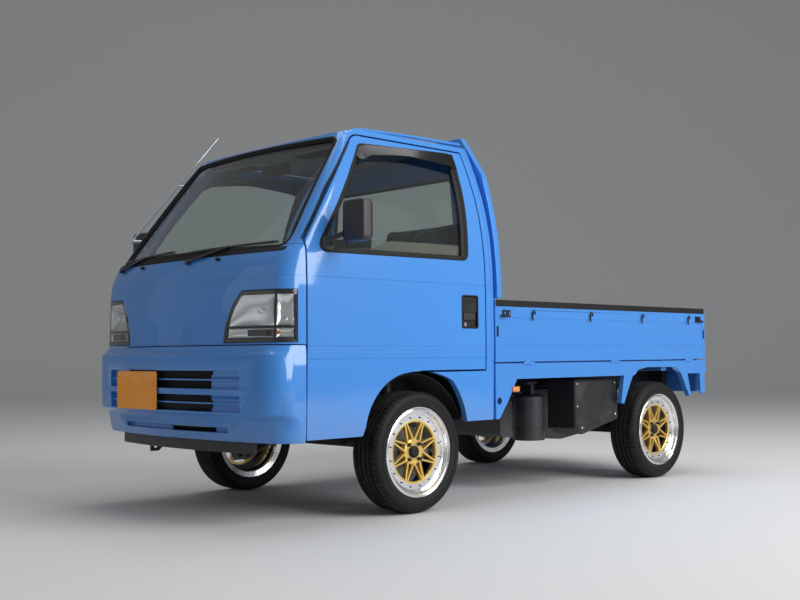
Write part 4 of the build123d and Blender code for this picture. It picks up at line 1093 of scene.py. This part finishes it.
y, z = np.meshgrid(np.linspace(-0.330, 0.330, 12), np.linspace(0.385, 0.650, 4), indexing="ij")
keep(sheet("bumper_backing", *(on_front(y, z, out, BUMPER)[0] for out in (-0.036, -0.040)), black_plastic))
WIRE = oval(0.0014, 0.0014, 6)
level, upright = np.linspace(-0.318, 0.318, 10), np.linspace(0.462, 0.636, 4)
wires = [on_front(level, z, -0.034, BUMPER) for z in np.arange(0.470, 0.632, 0.012)]
wires += [on_front(y, upright, -0.032, BUMPER) for y in np.arange(-0.315, 0.316, 0.015)]
bars = [swept("bar", *wire, WIRE, black_plastic) for wire in wires]
keep(joined(bars, "bumper_mesh"))

# Levels of each stamped piece, from its edge inwards: inset, height
PADDLE = [
    (0.0, -0.014), (0.0, -0.0035), (0.002, -0.0012), (0.014, -0.0005), (0.026, -0.0040), (0.032, -0.0045),
]
HANDLE_FRAME = [(0.0, -0.010), (0.0, 0.0008), (0.0015, 0.0014), (0.0055, 0.0012), (0.0065, -0.0100)]
MIRROR_RIM = [(0.0, 0.004), (0.0, -0.0014), (0.0015, -0.0020), (0.0040, -0.0020), (0.0050, -0.0006)]
MIRROR_FACE = [(0.0, 0.001), (0.0, -0.0011), (0.001, -0.0013), (0.03, -0.0013)]
LOCK = [
    (0.0001, -0.0075), (0.0045, -0.0075), (0.0050, -0.0050), (0.0098, -0.0050), (0.0105, -0.0065),
    (0.0105, -0.014), (0.0001, -0.014),
]


def on_door(side, x, z):
    """A place function for stamped(): the side wall about (x, z)."""
    return lambda a, b, height: on_side(x + a, z + b, side, height)[0]


# Stamped pieces of a handle: name, width, height, levels, height of the middle
HANDLE = [("paddle", 0.094, 0.074, PADDLE, 0.919), ("frame", 0.112, 0.154, HANDLE_FRAME, 0.888)]
for side, way in SIDES:
    body = f"door_{way}_body"
    parts = [
        stamped(name, box_outline(wide, tall, 0.012), levels, on_door(side, 0.440, z), black_plastic)
        for name, wide, tall, levels, z in HANDLE
    ]
    keep(joined(parts, f"handle_{way}"), body)
    lock = lathe(f"door_lock_{way}", LOCK, *on_side(0.468, 0.830, side), bright_steel, 28)
    keep(lock, body)
    face_at = flat_on((1.2084, side * 0.815, 1.237), ACROSS, UP)
    rim = stamped(f"mirror_frame_{way}", box_outline(0.112, 0.154, 0.020), MIRROR_RIM, face_at, black_plastic)
    keep(rim, body)
    glass_edge = box_outline(0.104, 0.146, 0.018)
    face = stamped(f"mirror_face_{way}", glass_edge, MIRROR_FACE, face_at, mirror_silver)
    keep(face, body)

# %% [markdown]
# ## Load bed fittings
# Each gate has a rubber strip along its top edge, a lever at the front that locks it, and one at the rear
# corner. The strip is a long box with round edges that wraps the edge of the gate.

# %% Gate caps, levers, markers and tail lamps
GATE_OUT, GATE_IN = 0.686, 0.658
LEVER_X, PIN_X, ROPE_HOOK_X = ((0.171, 1), (-1.560, -1)), (0.236, -1.620), (-0.030, -0.505, -0.981, -1.456)
# Boxes of one lever: name, step along X, distance from the middle plane, height, size, edge
LEVER = [
    ("plate", 0.0, 0.6875, 0.886, (0.060, 0.005, 0.034), 0.002),
    ("hub", 0.0, 0.6925, 0.886, (0.022, 0.012, 0.022), 0.004),
    ("grip", 0.022, 0.6950, 0.874, (0.050, 0.007, 0.012), 0.003),
]
ROPE_HOOK = [
    (-0.0095, 0.886), (-0.0088, 0.896), (0.0, 0.9045), (0.0088, 0.896), (0.0095, 0.884), (0.0095, 0.862),
    (0.0060, 0.857),
]
MARKER_LENS = [(0.0, -0.002), (0.0, 0.004), (0.002, 0.006), (0.008, 0.0075)]
GROMMET = [
    (0.0125, 0.0005), (0.0150, 0.0018), (0.0165, 0.0005), (0.0165, -0.002), (0.0115, -0.002),
    (0.0115, -0.0005),
]
for side, way in SIDES:
    body = f"side_gate_{way}_body"
    middle = side * (GATE_OUT + GATE_IN) / 2
    cap = soft_box(f"gate_cap_{way}", (-0.6915, middle, 0.9350), (1.880, 0.0296, 0.0316), 0.002, seal_rubber)
    keep(cap, body)
    out = np.array([0, side, 0])
    levers = []
    for x, turn in LEVER_X:
        axes = np.array([(turn, 0, 0), out, UP])
        for name, step, y, z, size, edge in LEVER:
            levers.append(soft_box(name, (x + turn * step, side * y, z), size, edge, black_plastic, axes))
    for x in PIN_X:
        pin_at = (x, side * 0.6870, 0.800)
        levers.append(soft_box("pin", pin_at, (0.012, 0.004, 0.050), 0.0015, black_plastic))
    for x in ROPE_HOOK_X:
        hook = rounded_line([(x + a, side * 0.6925, z) for a, z in ROPE_HOOK], 4)
        levers.append(swept("rope_hook", hook, out, oval(0.0036, 0.0042, 8), black_plastic))
    keep(joined(levers, f"gate_levers_{way}"), body)
    marker_at = flat_on((0.113, side * 0.6902, 0.524), (-side, 0, 0), UP)
    marker_shape = box_outline(0.052, 0.026, 0.006), MARKER_LENS
    marker = stamped(f"side_marker_{way}", *marker_shape, marker_at, amber_lens)
    keep(marker)
    keep(lathe(f"grommet_{way}", GROMMET, (0.232, side * 0.690, 0.471), out, seal_rubber, 24))
tail_cap = soft_box("gate_cap_tail", (-1.6225, 0, 0.9350), (0.0296, 1.296, 0.0316), 0.002, seal_rubber)
keep(tail_cap, "tail_gate_body")

TAIL_X, TAIL_Z = -1.6415, 0.517
TAIL_LENS = [(0.0, -0.0140), (0.0, -0.0020), (0.003, -0.0002), (0.008, 0.0), (0.012, 0.0)]
TAIL_BULB = [(0.0001, 0.009), (0.006, 0.007), (0.009, 0), (0.0001, 0)]
# Lenses of a tail lamp, outwards: colour, Y of both ends, material, slot, solids it stands for
TAIL_LENSES = [
    ("red", 0.400, 0.512, red_lens, "red_lens", ("tail_lamps",)),
    ("amber", 0.515, 0.580, amber_lens, "lamp_lens", ()),
    ("clear", 0.583, 0.630, clear_lens, "lamp_lens", ()),
]
lenses, holders = {row[0]: [] for row in TAIL_LENSES}, []
for side, _ in SIDES:
    for colour, start, end, material, *_ in TAIL_LENSES:
        middle = side * (start + end) / 2
        at = flat_on((TAIL_X, middle, TAIL_Z), (0, -1, 0), UP)
        edge = box_outline(end - start, 0.082, 0.006)
        lenses[colour].append(stamped("lens", edge, TAIL_LENS, at, material))
        holders.append(lathe("bulb", TAIL_BULB, (-1.630, middle, TAIL_Z), (-1, 0, 0), lamp_chrome, 16))
    case_at = (-1.6285, side * 0.515, TAIL_Z)
    holders.append(soft_box("case", case_at, (0.005, 0.230, 0.086), 0.002, black_plastic))
for colour, *_, slot, instead_of in TAIL_LENSES:
    keep(joined(lenses[colour], f"tail_lenses_{colour}"), "chassis", instead_of)
keep(joined(holders, "tail_lamp_cases"))

# %% [markdown]
# ## Inside the cab
# Through the glass one sees trim rather than bare steel: boards on the doors, a board on the back wall and
# a light lining under the roof. They are thin sheets a fixed distance inside the form.

# %% Trim boards, lining and controls
WINDER = [(0.0001, 0.012), (0.022, 0.010), (0.026, 0), (0.0001, 0)]
for side, way in SIDES:
    x, z = np.meshgrid(np.linspace(0.365, 1.330, 30), np.linspace(0.735, 1.100, 10), indexing="ij")
    rest = [sheet("board", *(on_side(x, z, side, out)[0] for out in (-0.049, -0.052)), grey_plastic)]
    place = on_side(0.80, 0.93, side, -0.064)[0]
    rest.append(soft_box("armrest", place, (0.30, 0.030, 0.050), 0.012, grey_plastic))
    place = on_side(1.02, 0.86, side, -0.058)[0]
    rest.append(lathe("winder", WINDER, place, (0, -side, 0), black_plastic, 24))
    keep(joined(rest, f"door_board_{way}"), f"door_{way}_body")

x, y = np.meshgrid(np.linspace(0.310, 1.040, 24), np.linspace(-0.470, 0.470, 24), indexing="ij")
high = roof_height(x, y) - 0.040
under = [np.stack([x, y, high - d], axis=-1) for d in (0.0, 0.004)]
keep(sheet("roof_lining", *under, lining))
wall = [soft_box("board", (0.2975, 0, 0.930), (0.006, 1.180, 0.400), 0.002, grey_plastic)]
for side, _ in SIDES:
    belt_at = (0.305, side * 0.545, 1.400)
    wall.append(soft_box("belt_cover", belt_at, (0.020, 0.060, 0.100), 0.008, grey_plastic))
keep(joined(wall, "back_wall_board"))

# Boxes in the cab: name, middle, size, edge, material
BOXES = [
    ("binnacle", (1.262, -0.330, 1.105), (0.120, 0.300, 0.050), 0.018, grey_plastic),
    ("radio", (1.1745, 0.020, 0.985), (0.012, 0.182, 0.052), 0.003, black_plastic),
    ("heater", (1.1765, 0.020, 0.920), (0.012, 0.170, 0.040), 0.003, black_plastic),
    ("glove_lid", (1.1760, 0.330, 0.985), (0.008, 0.330, 0.090), 0.006, grey_plastic),
    ("rear_view_mirror", (1.020, 0.0, 1.565), (0.022, 0.200, 0.058), 0.010, black_plastic),
]
for y in (-0.58, -0.13, 0.17, 0.58):
    BOXES.append(("vent", (1.184, y, 1.040), (0.014, 0.085, 0.036), 0.004, black_plastic))
for y in (-0.320, 0.320):
    BOXES.append(("sun_visor", (1.000, y, 1.612), (0.120, 0.340, 0.014), 0.006, lining))
controls = [soft_box(*row) for row in BOXES]
for y in (-0.420, -0.340, -0.270):
    controls.append(soft_box("pedal", (1.395, y, 0.560), (0.014, 0.055, 0.070), 0.005, black_plastic))
    arm_line = [(1.400, y, 0.585), (1.420, y, 0.700), (1.440, y, 0.850)]
    controls.append(swept("pedal_arm", arm_line, ACROSS, oval(0.006, 0.004, 8), black_plastic))
KNOB = [(0.0001, 0.030), (0.014, 0.027), (0.020, 0.014), (0.016, 0.0), (0.008, -0.010), (0.0001, -0.010)]
BOOT = [(0.0001, 0.085), (0.010, 0.085), (0.022, 0.050), (0.048, 0.0), (0.0001, 0.0)]
stick = spaced([(1.060, 0.0, 0.705), (1.050, 0.0, 0.800), (1.020, -0.01, 0.900)], 0.02)
lever = spaced([(0.700, 0.0, 0.730), (0.840, 0.0, 0.790)], 0.02)
controls += [
    swept("gear_stick", stick, ACROSS, oval(0.006, 0.006, 10), bright_steel),
    lathe("gear_knob", KNOB, stick[-1], (-0.3, -0.1, 1.0), black_plastic, 24),
    lathe("boot", BOOT, (1.060, 0, 0.7015), UP, black_plastic, 24),
    swept("brake_lever", lever, ACROSS, oval(0.012, 0.012, 12), black_plastic),
]
print("pieces in the cab", len(controls))
keep(joined(controls, "controls"))

# %% [markdown]
# ## Seats
# Foam under cloth is not a block: it swells between its seams. The solid is cut to one seat, drawn in,
# given an even mesh, and blown up by a cloth simulation whose movement is capped, so that the sides pull
# in between the corners. The sewn channels are pressed in afterwards, across the mesh's own normals.

# %% Cushions by cloth simulation
SEAT_SIDE = [(0.875, 0.703), (0.893, 0.826), (0.482, 0.846), (0.404, 1.334), (0.316, 1.334), (0.354, 0.703)]
# Ends of the seat: distance from the middle plane, and how far the side view is drawn in there
SEAT_ENDS = ((0.080, 0.010), (0.090, 0.0), (0.540, 0.0), (0.550, 0.010))
SEAT_ROOM = (0.304, 0.066, 0.7005), (0.905, 0.562, 1.345)
VOXEL, PRESSURE, LAST_FRAME, MOST_MOVE = 0.0095, 4.0, 20, 0.022
# Sewn channels: Y of the two long ones, X across the cushion, Z across the back, half width and depth
SEAM_Y, CUSHION_X, BACK_Z = (0.175, 0.455), (0.60, 0.69, 0.78), (0.96, 1.05, 1.14, 1.23)
CHANNEL_HALF, CHANNEL_DEEP = 0.006, 0.007


def inflate(piece):
    """The points after a cloth simulation under pressure, none moved by more than the cap."""
    start = read(piece.data.vertices, "co", 3)
    cloth = piece.modifiers.new("cloth", "CLOTH")
    cloth.settings.use_pressure = True
    cloth.settings.uniform_pressure_force = PRESSURE
    cloth.settings.effector_weights.gravity = 0.0
    cloth.point_cache.frame_start, cloth.point_cache.frame_end = 1, LAST_FRAME
    for step in range(1, LAST_FRAME + 1):
        scene.frame_set(step)
    moved = read(bake(piece).vertices, "co", 3) - start
    scene.frame_set(1)
    length = np.linalg.norm(moved, axis=1, keepdims=True)
    return start + moved * np.minimum(1, MOST_MOVE / np.maximum(length, 1e-9))


def nearest(values, lines):
    """Distance from each value to the nearest of some lines."""
    return np.min(np.abs(values[:, None] - np.array(lines)), axis=1)


def seat(side, way):
    """One seat: the side view as a solid between two Y values, remeshed, inflated and stitched."""
    profile = softened(SEAT_SIDE, [0.03] * 6, 5)
    middle = profile.mean(axis=0)
    rings = []
    for y, inset in SEAT_ENDS:
        ring = profile + unit(middle - profile) * (0.006 + inset)
        rings.append(np.stack([ring[:, 0], side * y + 0 * ring[:, 0], ring[:, 1]], axis=1))
    piece = grid_mesh(f"seat_{way}", np.stack(rings), seat_cloth, wrap_v=True, ends=True)
    remesh = piece.modifiers.new("even", "REMESH")
    remesh.mode, remesh.voxel_size = "VOXEL", VOXEL
    bake(piece)
    points = inflate(piece)
    points = np.clip(points * (1, side, 1), *SEAT_ROOM) * (1, side, 1)
    piece.data.vertices.foreach_set("co", points.reshape(-1))
    finer = piece.modifiers.new("finer", "SUBSURF")
    finer.levels = finer.render_levels = 1
    shape = bake(piece)
    points, normals = read(shape.vertices, "co", 3), read(shape.vertices, "normal", 3)
    shown = (normals[:, 0] > 0.3) | (normals[:, 2] > 0.5)
    x, across, z = points[:, 0], np.abs(points[:, 1]), points[:, 2]
    cushion = (z < 0.90) & (x > 0.50)
    bands = np.where(cushion, nearest(x, CUSHION_X), nearest(z, BACK_Z))
    inside = (across > SEAM_Y[0]) & (across < SEAM_Y[1])
    long_groove, cross_groove = (np.exp(-((d / CHANNEL_HALF) ** 2)) for d in (nearest(across, SEAM_Y), bands))
    groove = np.maximum(long_groove, cross_groove * inside)
    points = points - normals * (CHANNEL_DEEP * groove * shown)[:, None]
    shape.vertices.foreach_set("co", points.reshape(-1))
    shape.polygons.foreach_set("use_smooth", np.ones(len(shape.polygons), bool))
    shape.update()
    shape.materials.clear()
    shape.materials.append(seat_cloth)
    print(piece.name, "faces", len(shape.polygons))
    return piece


for side, way in SIDES:
    keep(seat(side, way), "chassis", ("seats",))

# %% [markdown]
# ## Tyres
# A tyre is a profile carried round the axle. The profile comes from the solid's own corners, rounded by
# a smooth curve. Grooves and angled slots are cut into the tread by lowering the radius: a slot runs
# where the angle, moved on with the distance across the tread, falls in the first tenth of a pitch.

# %% Tyres
TYRE_MIDDLE, PITCHES = 0.611, 64
GROOVE_DEEP, SLOT_DEEP, TREAD_RADIUS = 0.007, 0.005, 0.2555
# Half of the tyre's profile: radius, distance from its middle
TYRE_SIDE = np.array([
    (0.1776, 0.0624), (0.1900, 0.0645), (0.1975, 0.0660), (0.2015, 0.0770), (0.2100, 0.0800),
    (0.2250, 0.0824), (0.2265, 0.0808), (0.2290, 0.0808), (0.2305, 0.0823), (0.2400, 0.0818),
    (0.2480, 0.0790), (0.2560, 0.0730), (0.2610, 0.0660), (0.2640, 0.0600),
])
GROOVES = (-0.040, -0.0135, 0.0135, 0.040)


def tread_line():
    """Points across the tread, close together at both walls of each groove."""
    edges = [np.array([g - 0.0045, g - 0.0040, g + 0.0040, g + 0.0045]) for g in GROOVES]
    ribs = np.array([0.0065, 0.024, 0.030, 0.046, 0.052, 0.058])
    return np.sort(np.concatenate([*edges, -ribs, [0.0], ribs]))


def tyre(name, axle_x, side):
    """Radius falls in a groove and, on the ribs at the shoulders and between the grooves, in a slot.
    Slots lean with the distance across."""
    across = tread_line()
    crown = AXLE_Z - 0.9 * across**2
    street = rounded_line(TYRE_SIDE, 3)
    reach = np.concatenate([street[:, 0], crown[::-1], street[::-1, 0]])
    offset = np.concatenate([street[:, 1], across[::-1], -street[::-1, 1]])
    share = np.array([0.0, 0.015, 0.105, 0.12, 0.56])
    angle = 2 * np.pi * (np.arange(PITCHES)[:, None] + share).reshape(-1) / PITCHES
    in_slot = np.tile((share > 0.01) & (share < 0.11), PITCHES)[:, None]
    on_tread, from_middle = reach > TREAD_RADIUS, np.abs(offset)
    shoulder, middle_rib = from_middle > 0.044, (from_middle > 0.018) & (from_middle < 0.036)
    groove = on_tread & (nearest(offset, GROOVES) < 0.0042)
    depth = np.maximum(in_slot * (on_tread & (shoulder | middle_rib)) * SLOT_DEEP, groove * GROOVE_DEEP)
    turn = angle[:, None] + np.where(shoulder, 0.9, 1.6) * from_middle * 0.6
    radius = reach - depth
    y = side * (TYRE_MIDDLE + offset + 0 * turn)
    points = np.stack([axle_x + radius * np.sin(turn), y, AXLE_Z + radius * np.cos(turn)], axis=-1)
    return grid_mesh(name, points, rubber, wrap_u=True, wrap_v=True, sharp=40)


WHEELS = [
    (f"{end}_{way}", axle, side) for end, axle in (("front", FRONT_AXLE_X), ("rear", REAR_AXLE_X))
    for side, way in SIDES
]
for tag, axle, side in WHEELS:
    keep(tyre(f"tyre_{tag}_tread", axle, side), f"wheel_{tag}", (f"tyre_{tag}",))

# %% [markdown]
# ## Wheels
# Two-piece wheels: a wide turned lip, polished, with a cast gold centre bolted to its flange. The centre
# has eight pairs of thin arms. Each pair leaves the hub at one point and opens like a V, so that
# neighbouring pairs come close again at the rim, which is what makes the criss-cross star.

# %% Lip, arms, bolts and cap
STREET = 0.686
# Lip and barrel, from the street edge inwards: radius, distance behind the street edge
LIP = [
    (0.1972, -0.0000), (0.1985, 0.0030), (0.1972, 0.0060), (0.1885, 0.0058), (0.1845, 0.0030),
    (0.1820, 0.0034), (0.1800, 0.0080), (0.1780, 0.0150), (0.1745, 0.0185), (0.1700, 0.0195),
    (0.1655, 0.0215), (0.1640, 0.0250), (0.1400, 0.0262), (0.1385, 0.0280), (0.1385, 0.0400),
    (0.1600, 0.0500), (0.1600, 0.1100), (0.1710, 0.1200), (0.1710, 0.1440), (0.1970, 0.1500),
    (0.1970, 0.1440), (0.1770, 0.1380), (0.1770, 0.1160), (0.1660, 0.1060),
    (0.1660, 0.0480), (0.1770, 0.0340), (0.1770, 0.0120), (0.1925, 0.0085),
]
RING = [(0.1400, 0.0255), (0.1330, 0.0262), (0.1300, 0.0290), (0.1300, 0.0440), (0.1400, 0.0440)]
HUB = [
    (0.0001, 0.0360), (0.0330, 0.0360), (0.0345, 0.0345), (0.0400, 0.0345), (0.0500, 0.0330),
    (0.0560, 0.0350),
    (0.0575, 0.0400), (0.0575, 0.0609), (0.0001, 0.0609),
]
CAP = [
    (0.0001, 0.0215), (0.0150, 0.0218), (0.0235, 0.0240), (0.0265, 0.0290), (0.0270, 0.0360),
    (0.0001, 0.0360),
]
ARMS, ARM_OPEN = 8, math.radians(20.5)
HUB_EDGE, ARM_END = 0.047, 0.1395
# Section of an arm: share of its half width, depth behind its crest
ARM_SECTION = np.array([
    (-1.0, 0.020), (-1.0, 0.005), (-0.62, 0.001), (0.62, 0.001), (1.0, 0.005), (1.0, 0.020),
])
# Bolts in the centre's flange and nuts at the hub: name, count, first angle, ring, radius, height, depth
STUDS = [
    ("bolt", 16, math.pi / 16, 0.1525, 0.0036, 0.0045, 0.0254),
    ("nut", 4, math.pi / 4, 0.0455, 0.0085, 0.016, 0.036),
]


def arm(angle, lean, axle, side):
    """One arm: a box-like bar with a narrow ridge, from the hub at `angle` to the rim at `angle` plus
    `lean`. Its width and the depth behind the street edge change evenly along it."""
    t = np.linspace(0, 1, 9)[:, None]
    start = HUB_EDGE * np.array([math.sin(angle), math.cos(angle)])
    end = ARM_END * np.array([math.sin(angle + lean), math.cos(angle + lean)])
    line = start + (end - start) * t
    across = np.array([end[1] - start[1], start[0] - end[0]]) / np.linalg.norm(end - start)
    wide = (0.0052 - 0.0006 * t) * (1 + 0.5 * np.exp(-((1 - t) * 12)))
    flat = line[:, None, :] + across * (ARM_SECTION[None, :, :1] * wide[:, None, :])
    depth = 0.0300 - 0.004 * t + ARM_SECTION[:, 1]
    points = np.stack([axle + flat[..., 0], side * (STREET - depth), AXLE_Z + flat[..., 1]], axis=-1)
    return grid_mesh("arm", points, gold, wrap_v=True, ends=True, smooth=False)


def stud(name, axle, side, angle, ring, size, tall, base):
    """Bolt head: a hexagon that rises and closes with a small chamfer, at an angle round the axle."""
    turn = np.linspace(0, 2 * np.pi, 6, endpoint=False)[None, :]
    radius = np.array([size, size, size * 0.86, size * 0.5, 0.0002])[:, None]
    depth = np.array([0, -tall * 0.8, -tall, -tall * 1.02, -tall * 1.02])[:, None] + base
    x = axle + ring * math.sin(angle) + radius * np.cos(turn)
    z = AXLE_Z + ring * math.cos(angle) + radius * np.sin(turn)
    points = np.stack([x, side * (STREET - depth) + 0 * x, z], axis=-1)
    return grid_mesh(name, points, bolt_steel, wrap_v=True, ends=True, smooth=False)


def wheel(tag, axle, side):
    """Lip, gold centre, ring of bolts, nuts and cap of one wheel."""
    body = f"wheel_{tag}"

    def round_axle(name, profile, material, steps, sharp=None):
        """A profile of (radius, depth behind the street edge) carried round this wheel's axle."""
        edge = [(r, STREET - d) for r, d in profile]
        return turned(name, edge, (axle, 0, AXLE_Z), side, material, steps, sharp)

    keep(round_axle(f"wheel_lip_{tag}", LIP, lip_metal, 160, 35), body, (f"rim_{tag}",))
    parts = [round_axle("ring", RING, gold, 96), round_axle("hub", HUB, gold, 64)]
    for n in range(ARMS):
        parts += [arm(2 * math.pi * n / ARMS, lean, axle, side) for lean in (-ARM_OPEN, ARM_OPEN)]
    star = joined(parts, f"wheel_star_{tag}")
    star.data.set_sharp_from_angle(angle=math.radians(35))
    keep(star, body)
    bolts = [
        stud(name, axle, side, first + 2 * math.pi * n / count, *sizes)
        for name, count, first, *sizes in STUDS for n in range(count)
    ]
    bolts.append(round_axle("cap", CAP, black_plastic, 48))
    keep(joined(bolts, f"wheel_bolts_{tag}"), body)


for row in WHEELS:
    wheel(*row)
print("wheels", len(WHEELS))

# %% [markdown]
# ## Under the body
# What shows below is pipework and fixings: brake pipes along the rails, straps round the tank, liners in
# the arches. Pipes and straps are sections swept along short lines.

# %% Liners, pipes, straps and bolts
under, pipes = [], []
for side, _ in SIDES:
    turn = np.linspace(0.34, np.pi - 0.34, 30)[:, None]
    y = side * np.linspace(0.470, 0.648, 6)
    liner = []
    for radius in (0.322, 0.326):
        x, z = FRONT_AXLE_X + radius * np.cos(turn), 0.285 + radius * np.sin(turn)
        liner.append(np.stack(np.broadcast_arrays(x, y, z), axis=-1))
    under.append(sheet("liner", *liner, black_plastic))
    for offset, high in ((0.365, 0.500), (0.380, 0.515)):
        y = side * offset
        line = rounded_line([(0.640, y, 0.380), (0.300, y, 0.430), (0.100, y, high), (-1.000, y, high)], 8)
        pipes.append(swept("pipe", line, UP, oval(0.0035, 0.0035, 8), bolt_steel))
keep(joined(under, "arch_liners"))
keep(joined(pipes, "brake_pipes"))

BOLT_DOME = [(0.0001, 0.0045), (0.004, 0.0040), (0.0065, 0.0015), (0.0065, -0.002), (0.0001, -0.002)]
COVER_BOLTS = ((-0.436, 0.535), (-0.772, 0.535), (-0.772, 0.366), (-0.475, 0.307), (-0.436, 0.420))
COVER_EDGE = [(0.420, 0.312), (0.464, 0.288), (0.788, 0.352), (0.788, 0.548), (0.420, 0.548)]
COVER = softened(COVER_EDGE, [0.012] * 5, 4)
COVER_LEVELS = [(0, -0.002), (0, 0.002), (0.002, 0.004), (0.012, 0.004), (0.016, 0.001)]
fixings = [stamped("cover", COVER, COVER_LEVELS, flat_on((0, 0.6400, 0), (-1, 0, 0), UP), chassis_black)]
fixings += [lathe("bolt", BOLT_DOME, (x, 0.6435, z), ACROSS, bright_steel, 12) for x, z in COVER_BOLTS]
keep(joined(fixings, "battery_cover"))

# Canister of the air cleaner and tank: where each stands in plan or in section
CANISTER, TANK_Y, TANK_Z = (-0.250, 0.470, 0), -0.495, 0.410
CANISTER_LID = [(0.0001, 0.486), (0.060, 0.484), (0.078, 0.474), (0.078, 0.468), (0.0001, 0.468)]
bands = []
for z in (0.300, 0.425):
    hoop = [(0.0825, z), (0.0845, z), (0.0845, z + 0.018), (0.0825, z + 0.018)]
    bands.append(lathe("band", hoop, CANISTER, UP, bolt_steel, 48))
bands.append(lathe("lid", CANISTER_LID, CANISTER, UP, black_plastic, 48))
HOSE = [(-0.250, 0.440, 0.440), (-0.180, 0.400, 0.475), (-0.060, 0.250, 0.490), (0.080, 0.120, 0.480)]
bands.append(swept("hose", rounded_line(HOSE, 8), UP, oval(0.026, 0.026, 16), black_plastic))
for x in (-0.535, -0.255):
    loop = box_outline(0.256, 0.226, 0.030)
    line = np.insert(loop + (TANK_Y, TANK_Z), 0, x, axis=1)
    away = line - np.array([x, TANK_Y, TANK_Z])
    bands.append(swept("strap", line, away, strip(0.030, -0.001, 0.0015), bolt_steel, loop=True))
keep(joined(bands, "tank_straps"))

# %% [markdown]
# ## Studio
# A pale floor that curves up behind, a large soft light over the truck's left side as in the
# photograph, weaker ones ahead and above, and an even grey world to fill the shadows.

# %% Floor and lights


def studio_floor():
    """Floor that rises behind in a quarter circle of 10 m, from 14 m away: past that it goes on steeply."""
    box = Paintbox("studio_floor")
    speckle = box.noise(60.0, 4.0)
    colour = box.blend(speckle, (0.60, 0.60, 0.60), (0.66, 0.66, 0.655))
    material = box.surface(Base_Color=colour, Roughness=0.75)
    away, side = np.meshgrid(np.linspace(-30, 60, 200), np.linspace(-60, 60, 40), indexing="ij")
    rise = np.clip((away - 14) / 10, 0, 1)
    height = 10 * (1 - np.sqrt(1 - np.minimum(rise, 0.999) ** 2)) + np.maximum(away - 24, 0) * 1.5
    away = np.minimum(away, 24)
    ahead_flat = np.array([math.cos(HEADING), math.sin(HEADING), 0])
    side_flat = np.array([-ahead_flat[1], ahead_flat[0], 0])
    points = away[..., None] * ahead_flat + side[..., None] * side_flat + height[..., None] * np.array(UP)
    floor = grid_mesh("studio_floor", points, material)


def soft_light(name, place, aim, size, power):
    """Square lamp that faces a point."""
    lamp = bpy.data.lights.new(name, "AREA")
    lamp.shape, lamp.size, lamp.energy = "SQUARE", size, power
    holder = bpy.data.objects.new(name, lamp)
    holder.location = place
    holder.rotation_euler = (Vector(aim) - Vector(place)).to_track_quat("-Z", "Y").to_euler()
    scene.collection.objects.link(holder)


def studio_world():
    """Even grey light from all sides."""
    world = bpy.data.worlds.new("studio")
    scene.world = world
    world.use_nodes = True
    background = world.node_tree.nodes["Background"]
    background.inputs["Color"].default_value = (0.86, 0.88, 0.9, 1)
    background.inputs["Strength"].default_value = 0.36


studio_floor()
studio_world()
soft_light("key", (-1.4, 6.6, 4.0), (-0.3, 0, 0.8), 5.0, 540)
soft_light("front", (7.5, -2.5, 3.2), (0.8, 0, 0.7), 4.0, 14)
soft_light("top", (-1.0, -0.5, 6.5), (-0.4, 0, 0), 5.0, 170)
